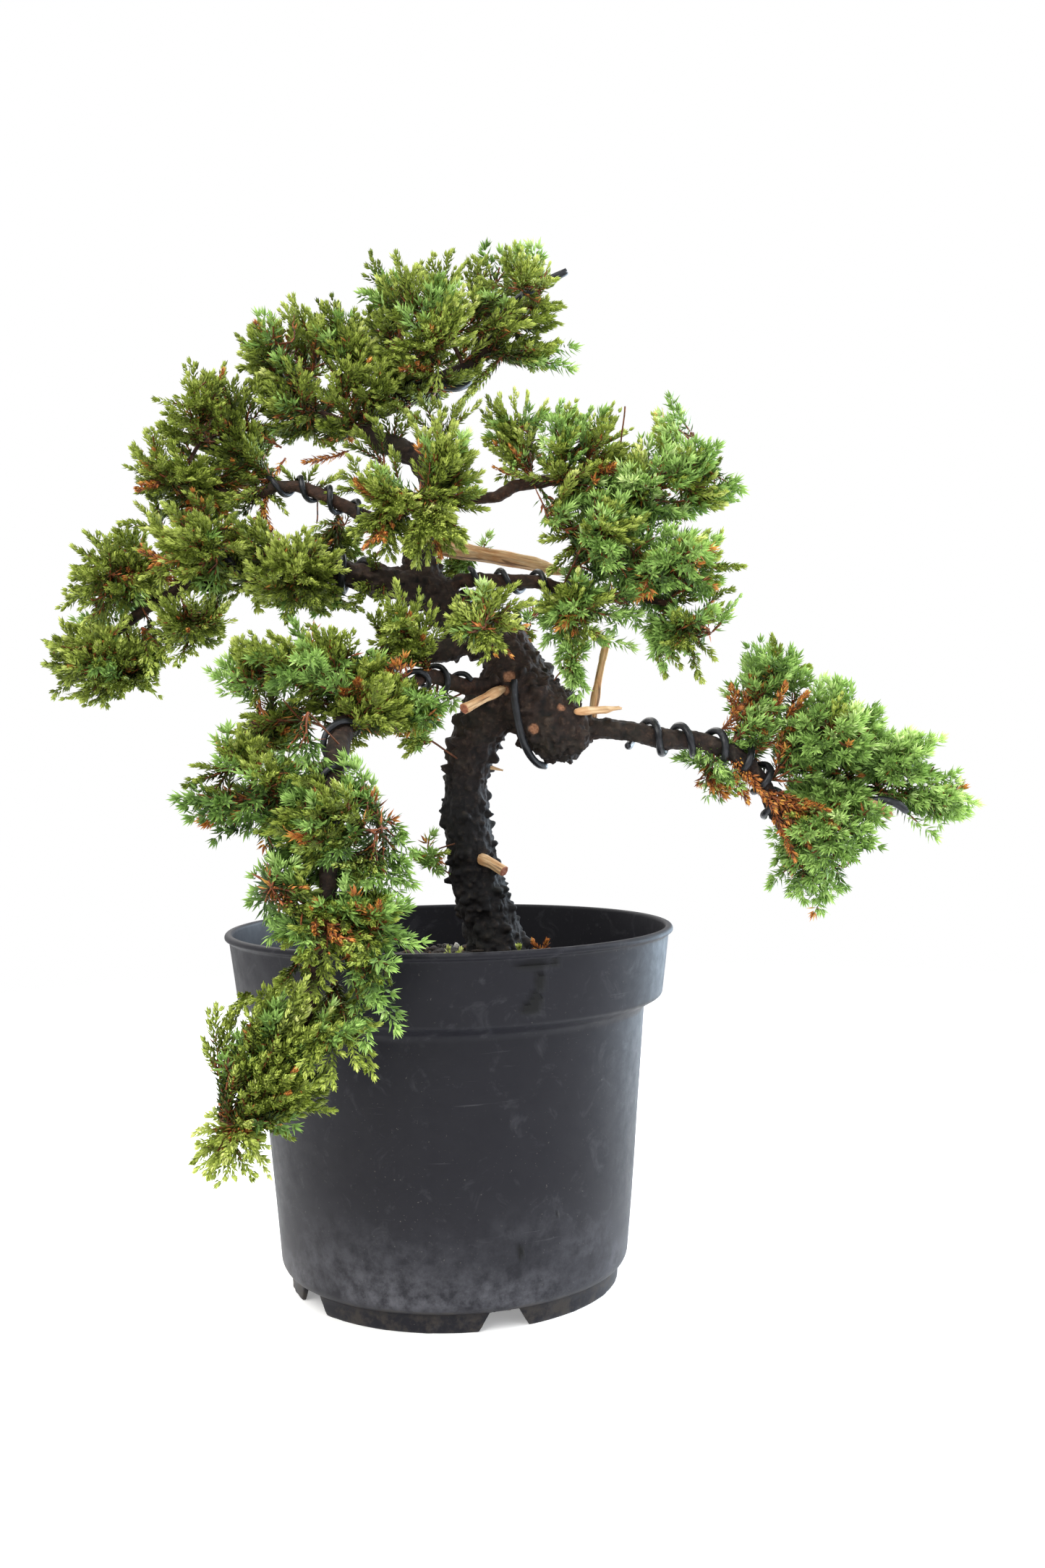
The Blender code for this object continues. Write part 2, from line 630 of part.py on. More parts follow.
def build_trunk(parts, cutters, material):
    place("trunk", trunk_body(cutters), parts, material)
    return as_cutter("trunk_clearance", trunk_body(cutters, GAP), cutters)


def build_stems(parts, cutters, bark, wood, trunk_clearance):
    """Branches and bare stubs, each let into the wood it grows from."""
    branches = {
        "right_branch": (RIGHT_BRANCH, WIRE_RADIUS),
        "cascade_branch": (CASCADE_BRANCH, FINE_WIRE_RADIUS),
        "lower_left_branch": (LOWER_LEFT_BRANCH, FINE_WIRE_RADIUS),
        "left_arm": (LEFT_ARM, WIRE_RADIUS),
        "left_upper_branch": (LEFT_UPPER_BRANCH, FINE_WIRE_RADIUS),
        "crown_left_branch": (CROWN_LEFT_BRANCH, 0),
        "right_middle_branch": (RIGHT_MIDDLE_BRANCH, FINE_WIRE_RADIUS),
        "right_upper_branch": (RIGHT_UPPER_BRANCH, 0),
        "right_fork": (RIGHT_FORK, 0),
        "centre_twig": (CENTRE_TWIG, 0),
        "front_twig": (FRONT_TWIG, 0),
    }
    stubs = {
        "tall_jin": TALL_JIN,
        "front_jin": FRONT_JIN,
        "splinter_jin": SPLINTER_JIN,
        "upper_jin": UPPER_JIN,
        "trunk_stub": TRUNK_STUB,
        "trunk_sliver": TRUNK_SLIVER,
    }
    hosts = [trunk_clearance]
    sleeves = [trunk_clearance]
    for name, (route, wire) in branches.items():
        branch = place(name, stem_mesh(route), parts, bark)
        carve(branch, hosts)
        hosts.append(as_cutter(name + "_clearance", stem_mesh(route, GAP), cutters))
        mesh = sleeve_mesh(route, wire) if wire else stem_mesh(route, 2 * GAP)
        sleeves.append(as_cutter(name + "_sleeve", mesh, cutters))
    for name, route in stubs.items():
        stub = place(name, stem_mesh(route), parts, wood)
        carve(stub, hosts)
        clearance = as_cutter(name + "_clearance", stem_mesh(route, GAP), cutters)
        hosts.append(clearance)
        sleeves.append(clearance)
    return hosts, sleeves


def build_wires(parts, cutters, material):
    """Training wires wound round the branches."""
    wires = {
        "right_branch_wire": (WIRE_RADIUS, wound_points(
            RIGHT_BRANCH, WIRE_RADIUS, 6.2, 0.19, 0.83, 200)),
        "lower_left_wire": (FINE_WIRE_RADIUS, wound_points(
            LOWER_LEFT_BRANCH, FINE_WIRE_RADIUS, 3.4, 0.27, 0.9, 60)),
        "left_arm_wire": (WIRE_RADIUS, wound_points(
            LEFT_ARM, WIRE_RADIUS, 5.2, 0.2, 0.72, 90)),
        "left_upper_wire": (FINE_WIRE_RADIUS, wound_points(
            LEFT_UPPER_BRANCH, FINE_WIRE_RADIUS, 4.6, 0.16, 0.68, 0)),
        "right_middle_wire": (FINE_WIRE_RADIUS, wound_points(
            RIGHT_MIDDLE_BRANCH, FINE_WIRE_RADIUS, 4.0, 0.25, 0.74, 120)),
        "cascade_wire": (FINE_WIRE_RADIUS, wound_points(
            CASCADE_BRANCH, FINE_WIRE_RADIUS, 5.6, 0.16, 0.62, 0)),
        "apex_wire": (WIRE_RADIUS, wound_points(
            UPPER_TRUNK, WIRE_RADIUS, 1.3, 0.75, 0.93, 60,
            [(30, -7.5, 431), (38, -8.5, 438), (47, -8, 443), (57, -7, 448)])),
        "trunk_wire": (WIRE_RADIUS, wound_points(
            UPPER_TRUNK, WIRE_RADIUS, 0.75, 0.188, 0.208, 180)),
        "elbow_wire": (WIRE_RADIUS, wound_points(
            ELBOW, WIRE_RADIUS, 0.3, 0.3, 0.8, 120)),
        "anchor_wire_end": (WIRE_RADIUS, [
            seated(place) for place in (
                (37, 19, 274), (35.5, 19, 281), (34, 18, 290), (33, 17, 301))]),
    }
    clearances = []
    for name, (radius, points) in wires.items():
        mesh = curve_mesh([(point, radius) for point in points], 2)
        place(name, mesh, parts, material)
        if name in ("apex_wire", "anchor_wire_end", "elbow_wire"):
            grown = curve_mesh([(point, radius + 2 * GAP) for point in points], 2)
            clearances.append(as_cutter(name + "_clearance", grown, cutters))
    return clearances


def build_foliage(parts, cutters, material, sleeves):
    sprigs = {
        "trunk_sprig": TRUNK_SPRIG,
        "hanging_sprig": HANGING_SPRIG,
        "drooping_sprig": DROOPING_SPRIG,
        "back_sprig": BACK_SPRIG,
        "high_sprig": HIGH_SPRIG,
    }
    keep_clear = list(sleeves)
    for name, route in sprigs.items():
        sprig = place(name, stem_mesh(route), parts, material)
        carve(sprig, keep_clear)
        keep_clear.append(as_cutter(name + "_clearance", stem_mesh(route, GAP), cutters))
    for name, masses in PADS.items():
        pad = place(name, pad_mesh(masses, cutters), parts, material)
        carve(pad, keep_clear)
        grown = pad_mesh(masses, cutters, 2 * GAP)
        keep_clear.append(as_cutter(name + "_clearance", grown, cutters))


def centre_on_base(parts, cutters):
    """Stand the plant with the middle of its box over the origin."""
    boxes = [bounds(obj) for obj in parts.objects]
    shift = Vector((0, 0, 0))
    for axis in range(2):
        low = min(box[0][axis] for box in boxes)
        high = max(box[1][axis] for box in boxes)
        shift[axis] = -round((low + high) / 2, 3)
    for obj in list(parts.objects) + list(cutters.objects):
        obj.data.transform(Matrix.Translation(shift))


def build():
    clear_scene()
    parts = new_collection("potted_juniper_bonsai")
    cutters = new_collection("cutters")
    bark = finish("bark", BARK)
    needles = finish("needles", NEEDLES)
    wood = finish("bleached_wood", BLEACHED_WOOD)
    wire = finish("black_wire", BLACK_WIRE)
    build_pot(parts, cutters, finish("pot_plastic", POT_PLASTIC))
    trunk_clearance = build_trunk(parts, cutters, bark)
    build_soil(parts, finish("potting_mix", POTTING_MIX), trunk_clearance)
    hosts, sleeves = build_stems(parts, cutters, bark, wood, trunk_clearance)
    sleeves += build_wires(parts, cutters, wire)
    build_foliage(parts, cutters, needles, sleeves)
    centre_on_base(parts, cutters)
    for cutter in cutters.objects:
        cutter.hide_render = True
        cutter.display_type = "WIRE"


build()
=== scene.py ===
"""Looks for a trained dwarf juniper in a black nursery pot.

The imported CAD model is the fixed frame.  Each node is replaced by a detailed
piece that fills the same space: stems get flaking bark, bare stubs get grain
and torn ends, the pot and its mix are rebuilt finely, and each foliage mass is
filled with branching twigs that carry whorls of awl-shaped needles.
"""

import math

import bmesh
import bpy
import numpy as np
from mathutils import Matrix, Vector
from mathutils.bvhtree import BVHTree


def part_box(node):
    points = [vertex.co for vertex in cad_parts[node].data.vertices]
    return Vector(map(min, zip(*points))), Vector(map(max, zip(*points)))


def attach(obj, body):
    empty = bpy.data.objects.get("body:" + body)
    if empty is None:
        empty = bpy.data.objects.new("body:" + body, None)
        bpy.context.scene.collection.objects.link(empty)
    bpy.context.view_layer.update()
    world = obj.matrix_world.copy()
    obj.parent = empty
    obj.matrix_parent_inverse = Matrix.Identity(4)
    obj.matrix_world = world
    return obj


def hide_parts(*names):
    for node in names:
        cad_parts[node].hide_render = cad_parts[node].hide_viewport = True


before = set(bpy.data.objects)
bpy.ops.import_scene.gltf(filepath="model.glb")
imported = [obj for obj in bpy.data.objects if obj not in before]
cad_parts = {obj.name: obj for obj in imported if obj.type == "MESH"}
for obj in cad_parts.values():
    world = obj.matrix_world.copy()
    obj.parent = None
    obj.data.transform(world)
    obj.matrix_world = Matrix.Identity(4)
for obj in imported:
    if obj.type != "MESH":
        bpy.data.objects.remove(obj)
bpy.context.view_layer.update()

MM = 0.001
UP = np.array([0.0, 0.0, 1.0])

# The pot stands a little off the middle of the whole plant's box.
POT_LOW, POT_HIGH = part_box("nursery_pot")
POT_AXIS = np.array([(POT_LOW.x + POT_HIGH.x) / 2, (POT_LOW.y + POT_HIGH.y) / 2, 0.0])
RIM_RADIUS = (POT_HIGH.x - POT_LOW.x) / 2 / MM
POT_HEIGHT = POT_HIGH.z / MM

# Pot, in millimetres
WALL = 1.6
BEAD_HEIGHT = 3.2
BEAD_PROUD = 1.9
BAND_HEIGHT = 30.4
BAND_TAPER = 3.3
BAND_STEP = 8.2
BODY_FOOT_RADIUS = 77.6
FOOT_RADIUS = 73.3
FOOT_HEIGHT = 8.0
FOOT_WALL = 2.2
FLOOR_THICKNESS = 2.2
FLOOR_Z = FOOT_HEIGHT + FLOOR_THICKNESS
FOOT_INNER = FOOT_RADIUS - FOOT_WALL
EDGE_ROUND = 6.0
EDGE_Z = FOOT_HEIGHT + EDGE_ROUND
WRAP_RADIUS = 90.0
NOTCH_COUNT = 5
NOTCH_TOP_WIDTH = 12.5
NOTCH_BOTTOM_WIDTH = 22.0
NOTCH_FIRST_ANGLE = 15.4
DRAIN_HOLE_RADIUS = 5.5
DRAIN_HOLE_CIRCLE = 56.0
POT_SEGMENTS = 420
FLOOR_SEGMENTS = 96

# Water on the pot: degrees round from the front, level, half width and half height
DRIPS = [
    (19.5, 150.0, 8.0, 2.4), (21.0, 144.0, 2.6, 4.5), (20.0, 136.0, 2.8, 3.6),
    (19.0, 132.5, 4.2, 3.0), (24.5, 151.0, 3.0, 1.5), (19.0, 32.5, 1.6, 3.4),
    (31.0, 46.0, 0.7, 1.2),
]

# Potting mix, in millimetres
SOIL_EDGE_DROP = 27.5
SOIL_MOUND = 16.0
SOIL_SEGMENTS = 220
SOIL_RINGS = 80
GRAIN_REACH = 91.0
LONG_CHIPS_BELOW = 0.6

# Loose grains: how many, size, spread of size, flatness, length, tint, and for a heap its
# middle and spread
GRAINS = [
    (900, 3.0, 1.0, 0.45, 1.9, 0.22, None), (700, 2.0, 0.6, 0.8, 1.0, 0.08, None),
    (260, 2.4, 0.7, 0.7, 1.2, 0.52, None), (170, 2.1, 0.6, 0.85, 1.1, 0.70, None),
    (60, 2.4, 0.7, 0.85, 1.1, 0.96, None), (26, 2.6, 0.6, 0.85, 1.1, 0.97, (-14, -52, 9)),
    (120, 1.2, 0.3, 0.25, 4.5, 0.80, None), (10, 2.2, 0.5, 0.85, 1.1, 0.95, (10, -24, 8)),
]

# Studio: place and size of each softbox in metres, its power and its tint
WARM, COOL = (1.0, 0.98, 0.94), (0.84, 0.92, 1.0)
LAMPS = [
    ((-0.7, -0.9, 1.4), 1.3, 30.0, WARM), ((1.1, -0.9, 0.9), 1.2, 6.0, COOL),
    ((1.2, 0.55, 0.7), 1.1, 32.0, COOL), ((-0.4, 1.0, 1.3), 1.1, 12.0, WARM),
    ((1.05, 0.85, 0.15), 0.9, 20.0, (0.60, 0.80, 1.0))]
LAMP_AIM = (-0.02, 0.0, 0.22)
WORLD_LIGHT = 0.85
FLOOR_REACH = 1.1
FLOOR_GLOW = 0.28
FLOOR_SIDES = 64

# Camera: place in millimetres from the pot's foot; turn to the right, down and sideways in degrees
CAMERA_PLACE = (0.0, -652.4, 227.8)
CAMERA_TURN = (2.94, 0.72, -0.93)
CAMERA_LENS = 33.21
CAMERA_SENSOR = 36.0

STEMS = [
    "trunk", "right_branch", "right_fork", "cascade_branch", "lower_left_branch",
    "left_arm", "left_upper_branch", "crown_left_branch", "right_middle_branch",
    "right_upper_branch", "centre_twig", "front_twig",
]
# Bare stubs: name, how far torn fibres stand out of the end in millimetres, and is it sawn
STUBS = [
    ("tall_jin", 1.2, False), ("front_jin", 0.2, True), ("splinter_jin", 3.0, False),
    ("upper_jin", 3.0, False), ("trunk_stub", 0.2, True), ("trunk_sliver", 1.0, False),
]
WIRES = sorted(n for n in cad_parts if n.endswith("_wire") or n == "anchor_wire_end")
PADS = sorted(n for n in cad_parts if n.startswith("foliage_"))
SPRIGS = sorted(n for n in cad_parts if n.endswith("_sprig"))


# ---------------------------------------------------------------- arrays and noise

def at(x, y, z):
    """A point given in millimetres from the middle of the pot's foot."""
    return POT_AXIS + np.array([x, y, z]) * MM


def unit(vectors):
    """The vectors cut or stretched to length one."""
    size = np.linalg.norm(vectors, axis=-1, keepdims=True)
    return vectors / np.maximum(size, 1e-12)


def smooth_step(low, high, values):
    """A soft step from 0 at low to 1 at high."""
    share = np.clip((values - low) / (high - low), 0, 1)
    return share * share * (3 - 2 * share)


def cell_value(i, j, k, seed):
    """A fixed random number from -1 to 1 for each cell of a grid."""
    mixed = (i * 73856093) ^ (j * 19349663) ^ (k * 83492791) ^ (seed * 961748927)
    mixed &= 0xFFFFFFFF
    mixed = ((mixed ^ (mixed >> 15)) * 224682251) & 0xFFFFFFFF
    mixed = ((mixed ^ (mixed >> 13)) * 326648991) & 0xFFFFFFFF
    return (mixed ^ (mixed >> 16)) / 0x7FFFFFFF - 1


def noise(points, size, seed=0):
    """Smooth noise from -1 to 1 whose features are about size across."""
    scaled = points / np.asarray(size, float)
    cell = np.floor(scaled).astype(np.int64)
    t = scaled - cell
    t = t * t * t * (t * (t * 6 - 15) + 10)
    total = np.zeros(len(points))
    for corner in range(8):
        step = np.array([corner & 1, corner >> 1 & 1, corner >> 2 & 1])
        weight = np.where(step, t, 1 - t).prod(axis=1)
        total += weight * cell_value(*(cell + step).T, seed)
    return total


def node_arrays(*names):
    """Welded corners and triangles of some CAD nodes, in metres."""
    corners, faces, count = [], [], 0
    for name in names:
        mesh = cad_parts[name].data
        mesh.calc_loop_triangles()
        places = np.empty(len(mesh.vertices) * 3, np.float32)
        mesh.vertices.foreach_get("co", places)
        triangles = np.empty(len(mesh.loop_triangles) * 3, np.int32)
        mesh.loop_triangles.foreach_get("vertices", triangles)
        places = places.reshape(-1, 3).astype(float)
        key = np.round(places * 1e6).astype(np.int64)
        _, first, same = np.unique(key, axis=0, return_index=True, return_inverse=True)
        triangles = same.reshape(-1)[triangles].reshape(-1, 3)
        a, b, c = triangles.T
        triangles = triangles[(a != b) & (b != c) & (c != a)]
        corners.append(places[first])
        faces.append(triangles + count)
        count += len(first)
    return np.concatenate(corners), np.concatenate(faces)


def make_mesh(name, points, faces):
    """A smooth mesh from arrays; every face has the same number of corners."""
    faces = np.asarray(faces, np.int32)
    count, sides = faces.shape
    mesh = bpy.data.meshes.new(name)
    mesh.vertices.add(len(points))
    mesh.vertices.foreach_set("co", np.asarray(points, np.float32).ravel())
    mesh.loops.add(count * sides)
    mesh.loops.foreach_set("vertex_index", faces.ravel())
    mesh.polygons.add(count)
    mesh.polygons.foreach_set("loop_start", np.arange(0, count * sides, sides, dtype=np.int32))
    mesh.update(calc_edges=True)
    set_smooth(mesh, True)
    return mesh


def set_value(mesh, name, values):
    """Store one number per vertex for a material to read."""
    layer = mesh.attributes.new(name, "FLOAT", "POINT")
    layer.data.foreach_set("value", np.asarray(values, np.float32))


def set_vector(mesh, name, values):
    """Store one vector per vertex for a material to read."""
    layer = mesh.attributes.new(name, "FLOAT_VECTOR", "POINT")
    layer.data.foreach_set("vector", np.asarray(values, np.float32).ravel())


def mesh_points(mesh):
    """The corners of a mesh as an array."""
    places = np.empty(len(mesh.vertices) * 3, np.float32)
    mesh.vertices.foreach_get("co", places)
    return places.reshape(-1, 3).astype(float)


def mesh_normals(mesh):
    """The outward direction at each corner of a mesh."""
    normals = np.empty(len(mesh.vertices) * 3, np.float32)
    mesh.vertex_normals.foreach_get("vector", normals)
    return normals.reshape(-1, 3).astype(float)


def move_points(mesh, points):
    mesh.vertices.foreach_set("co", np.asarray(points, np.float32).ravel())
    mesh.update()


def set_smooth(mesh, smooth):
    """Shade a mesh smooth or flat."""
    mesh.polygons.foreach_set("use_smooth", np.full(len(mesh.polygons), smooth))


def turned_outward(mesh, weld_mm=0.0):
    """Weld doubled corners if asked, and make every face look outward."""
    work = bmesh.new()
    work.from_mesh(mesh)
    if weld_mm:
        bmesh.ops.remove_doubles(work, verts=work.verts, dist=weld_mm * MM)
    bmesh.ops.recalc_face_normals(work, faces=work.faces)
    work.to_mesh(mesh)
    work.free()


def modified(mesh, *changes):
    """The mesh after some modifiers, each given as (type, settings)."""
    obj = bpy.data.objects.new("work", mesh)
    bpy.context.scene.collection.objects.link(obj)
    for kind, settings in changes:
        modifier = obj.modifiers.new(kind.lower(), kind)
        for key, value in settings.items():
            setattr(modifier, key, value)
    bpy.context.view_layer.update()
    graph = bpy.context.evaluated_depsgraph_get()
    result = bpy.data.meshes.new_from_object(obj.evaluated_get(graph))
    bpy.data.objects.remove(obj, do_unlink=True)
    bpy.data.meshes.remove(mesh)
    return result


def remeshed(points, faces, voxel, relax, swell=0.0):
    """One even skin over closed bodies, which join where they meet."""
    mesh = make_mesh("skin", points, faces)
    if swell:
        move_points(mesh, points + mesh_normals(mesh) * swell)
    skin = ("REMESH", {"mode": "VOXEL", "voxel_size": voxel, "use_smooth_shade": True})
    ease = ("SMOOTH", {"factor": 0.5, "iterations": relax})
    return modified(mesh, skin, ease)


def add_piece(name, mesh, material, slot, *nodes):
    """Show a mesh as a piece of the plant that stands for some CAD nodes."""
    mesh.name = name
    obj = bpy.data.objects.new(name, mesh)
    bpy.context.scene.collection.objects.link(obj)
    mesh.materials.clear()
    mesh.materials.append(material)
    if nodes:
        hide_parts(*nodes)
    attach(obj, "root")
    return obj


# ---------------------------------------------------------------- materials

class Look:
    """A small helper that builds a node material around one Principled shader."""

    def __init__(self, name):
        self.material = bpy.data.materials.new(name)
        self.material.use_nodes = True
        self.nodes = self.material.node_tree.nodes
        self.links = self.material.node_tree.links
        self.shader = self.nodes["Principled BSDF"]
        self.place = self.nodes.new("ShaderNodeTexCoord").outputs["Object"]

    def join(self, source, target):
        if isinstance(source, (int, float)):
            target.default_value = source
        elif isinstance(source, tuple):
            target.default_value = (*source, 1.0)[:len(target.default_value)]
        else:
            self.links.new(source, target)

    def value(self, name):
        node = self.nodes.new("ShaderNodeAttribute")
        node.attribute_name = name
        return node.outputs["Fac"]

    def vector(self, name):
        node = self.nodes.new("ShaderNodeAttribute")
        node.attribute_name = name
        return node.outputs["Vector"]

    def noise(self, size_mm, detail=3.0, rough=0.55, place=None, distort=0.0, stretch=None):
        """Noise with features about size_mm across, from 0 to 1."""
        place = place or self.place
        if stretch:
            mapping = self.nodes.new("ShaderNodeMapping")
            mapping.inputs["Scale"].default_value = stretch
            self.links.new(place, mapping.inputs["Vector"])
            place = mapping.outputs["Vector"]
        node = self.nodes.new("ShaderNodeTexNoise")
        node.inputs["Scale"].default_value = 1 / (size_mm * MM)
        node.inputs["Detail"].default_value = detail
        node.inputs["Roughness"].default_value = rough
        node.inputs["Distortion"].default_value = distort
        self.links.new(place, node.inputs["Vector"])
        return node.outputs["Fac"]

    def ramp(self, source, stops, ease="LINEAR"):
        node = self.nodes.new("ShaderNodeValToRGB")
        node.color_ramp.interpolation = ease
        elements = node.color_ramp.elements
        while len(elements) < len(stops):
            elements.new(0.5)
        for element, (position, colour) in zip(elements, stops):
            if isinstance(colour, (int, float)):
                colour = (colour,) * 3
            element.position = position
            element.color = (*colour, 1.0)
        self.join(source, node.inputs["Fac"])
        return node.outputs["Color"]

    def mix(self, share, first, second, blend="MIX"):
        node = self.nodes.new("ShaderNodeMix")
        node.data_type = "RGBA"
        node.blend_type = blend
        self.join(share, node.inputs[0])
        self.join(first, node.inputs[6])
        self.join(second, node.inputs[7])
        return node.outputs[2]

    def math(self, kind, first, second=0.0):
        node = self.nodes.new("ShaderNodeMath")
        node.operation = kind
        self.join(first, node.inputs[0])
        self.join(second, node.inputs[1])
        return node.outputs[0]

    def bump(self, height, depth_mm, strength=1.0, below=None):
        node = self.nodes.new("ShaderNodeBump")
        node.inputs["Strength"].default_value = strength
        node.inputs["Distance"].default_value = depth_mm * MM
        self.links.new(height, node.inputs["Height"])
        if below:
            self.links.new(below, node.inputs["Normal"])
        return node.outputs["Normal"]

    def finish(self, colour, roughness, normal=None, **extra):
        self.join(colour, self.shader.inputs["Base Color"])
        self.join(roughness, self.shader.inputs["Roughness"])
        if normal:
            self.links.new(normal, self.shader.inputs["Normal"])
        for name, value in extra.items():
            self.join(value, self.shader.inputs[name.replace("_", " ")])
        return self.material


def bark_look():
    """Near-black flaking bark, redder on young wood, tan where it was cut, with painted highlights on
    its crests and painted shade in its crannies.
    """
    look = Look("juniper_bark")
    relief = look.value("relief")
    flakes = look.noise(2.4, 4, 0.65, distort=0.4)
    broad = look.noise(16, 2)
    dark = look.ramp(flakes, [
        (0.30, (0.004, 0.004, 0.005)), (0.52, (0.009, 0.008, 0.009)),
        (0.66, (0.024, 0.019, 0.017)), (0.82, (0.075, 0.062, 0.054))])
    brown = look.ramp(flakes, [
        (0.30, (0.010, 0.006, 0.005)), (0.55, (0.028, 0.016, 0.012)), (0.80, (0.095, 0.060, 0.042))])
    dark = look.mix(look.value("high"), dark, brown)
    young = look.ramp(flakes, [
        (0.30, (0.022, 0.010, 0.006)), (0.55, (0.060, 0.024, 0.013)),
        (0.80, (0.150, 0.062, 0.032))])
    colour = look.mix(look.value("young"), dark, young)
    # Painted highlight: the raised crests of the bark relief are made a lighter grey-brown.
    painted_crest_highlight = look.math("MULTIPLY", look.ramp(relief, [(0.55, 0.0), (1.0, 0.55)]), broad)
    colour = look.mix(painted_crest_highlight, colour, (0.10, 0.078, 0.060))
    # Painted shade: the low crannies of the bark relief are made near black.
    painted_cranny_shade = look.ramp(relief, [(0.0, 1.0), (0.35, 0.0)])
    colour = look.mix(painted_cranny_shade, colour, (0.004, 0.003, 0.003))
    damp = look.ramp(look.noise(22, 2), [(0.50, 0.0), (0.68, 0.30)])
    colour = look.mix(damp, colour, (0.016, 0.019, 0.010))
    wood = look.ramp(look.noise(1.1, 3), [
        (0.3, (0.16, 0.065, 0.035)), (0.7, (0.42, 0.21, 0.115))])
    colour = look.mix(look.value("scar"), colour, wood)
    rough = look.ramp(flakes, [(0.3, 0.72), (0.8, 0.95)])
    fine = look.noise(0.7, 5, 0.7)
    normal = look.bump(flakes, 0.7, 0.8, look.bump(fine, 0.25, 0.7))
    return look.finish(colour, rough, normal, Specular_IOR_Level=0.3)


def wood_look():
    """Bleached dead wood: cream to orange-tan with dark streaks along the grain."""
    look = Look("bleached_wood_grain")
    grain = look.vector("grain")
    fibre = look.noise(0.9, 4, 0.6, grain, 0.3, (0.08, 1.0, 1.0))
    streak = look.noise(2.6, 3, 0.6, grain, 0.6, (0.10, 1.0, 1.0))
    stain = look.noise(9, 3, 0.6, grain, 0.5, (0.6, 1.0, 1.0))
    colour = look.ramp(fibre, [
        (0.28, (0.34, 0.17, 0.075)), (0.50, (0.62, 0.40, 0.21)), (0.75, (0.80, 0.62, 0.40))])
    warm = look.ramp(stain, [(0.45, 0.0), (0.66, 0.75)])
    colour = look.mix(warm, colour, (0.48, 0.20, 0.065))
    dark = look.ramp(streak, [(0.57, 0.0), (0.66, 0.8)])
    colour = look.mix(dark, colour, (0.10, 0.045, 0.022))
    heart = look.ramp(fibre, [(0.3, (0.20, 0.055, 0.028)), (0.7, (0.46, 0.17, 0.085))])
    colour = look.mix(look.value("end_grain"), colour, heart)
    rough = look.ramp(fibre, [(0.3, 0.82), (0.7, 0.62)])
    normal = look.bump(fibre, 0.3, 0.7, look.bump(streak, 0.4, 0.5))
    return look.finish(colour, rough, normal)


def wire_look():
    """Black anodised aluminium, scuffed to dull grey in places."""
    look = Look("black_aluminium_wire")
    scuff = look.noise(3.5, 4, 0.7)
    fine = look.noise(0.5, 3, 0.6)
    colour = look.ramp(scuff, [
        (0.40, (0.010, 0.011, 0.014)), (0.62, (0.022, 0.023, 0.028)), (0.78, (0.10, 0.10, 0.115))])
    rough = look.ramp(scuff, [(0.35, 0.30), (0.75, 0.55)])
    normal = look.bump(fine, 0.05, 0.5, look.bump(scuff, 0.15, 0.4))
    return look.finish(colour, rough, normal, Metallic=0.35)


def pot_look():
    """Matt blue-black injection-moulded plastic, scuffed and hazed by handling."""
    look = Look("nursery_pot_plastic")
    broad = look.noise(38, 3, 0.6)
    mottle = look.noise(7, 5, 0.7)
    speck = look.noise(0.9, 2, 0.5)
    base = look.mix(broad, (0.0068, 0.0066, 0.0098), (0.0108, 0.0106, 0.0150))
    haze = look.math("MULTIPLY", look.value("haze"), look.ramp(mottle, [(0.36, 0.12), (0.64, 1.0)]))
    colour = look.mix(haze, base, (0.088, 0.088, 0.100))
    rub = look.ramp(look.noise(14, 4, 0.7, distort=1.2), [(0.56, 0.0), (0.72, 0.30)])
    colour = look.mix(rub, colour, (0.060, 0.060, 0.068))
    scratch = look.noise(1.0, 2, 0.6, look.vector("wrap"), 0.25, (0.035, 1.0, 1.0))
    scratch_at = look.ramp(look.noise(26, 2), [(0.52, 0.0), (0.64, 1.0)])
    line = look.math("MULTIPLY", look.ramp(scratch, [(0.685, 0.0), (0.72, 1.0)]), scratch_at)
    line = look.math("MULTIPLY", line, 0.16)
    colour = look.mix(line, colour, (0.16, 0.16, 0.17))
    dust = look.math("MULTIPLY", look.ramp(speck, [(0.70, 0.0), (0.76, 1.0)]),
                     look.ramp(broad, [(0.40, 0.05), (0.70, 0.45)]))
    colour = look.mix(dust, colour, (0.20, 0.185, 0.165))
    wet = look.value("wet")
    colour = look.mix(wet, colour, (0.0008, 0.0008, 0.001))
    soil = look.math("MULTIPLY", look.value("grime"), look.ramp(mottle, [(0.45, 0.0), (0.60, 1.0)]))
    colour = look.mix(soil, colour, (0.045, 0.038, 0.032))
    rough = look.ramp(mottle, [(0.3, 0.44), (0.7, 0.58)])
    rough = look.mix(wet, rough, (0.16, 0.16, 0.16))
    satin = look.noise(0.35, 3, 0.6)
    normal = look.bump(satin, 0.04, 0.35, look.bump(scratch, 0.10, 0.12))
    normal = look.bump(wet, 0.5, 0.8, normal)
    return look.finish(colour, rough, normal, Specular_IOR_Level=0.165)


def mix_look():
    """Damp potting mix: dark bark and grit, each grain in its own colour."""
    look = Look("potting_mix_grains")
    tint = look.value("tint")
    fine = look.noise(0.8, 4, 0.7)
    colour = look.ramp(tint, [
        (0.00, (0.010, 0.007, 0.005)), (0.25, (0.028, 0.017, 0.011)),
        (0.45, (0.070, 0.038, 0.020)), (0.60, (0.150, 0.085, 0.045)),
        (0.72, (0.110, 0.105, 0.095)), (0.82, (0.340, 0.130, 0.040)), (0.90, (0.62, 0.60, 0.55)),
        (1.00, (0.82, 0.81, 0.77))])
    shade = look.ramp(fine, [(0.25, 0.45), (0.75, 1.15)])
    colour = look.mix(1.0, colour, shade, "MULTIPLY")
    normal = look.bump(fine, 0.5, 0.8)
    return look.finish(colour, look.ramp(fine, [(0.3, 0.95), (0.7, 0.75)]), normal)


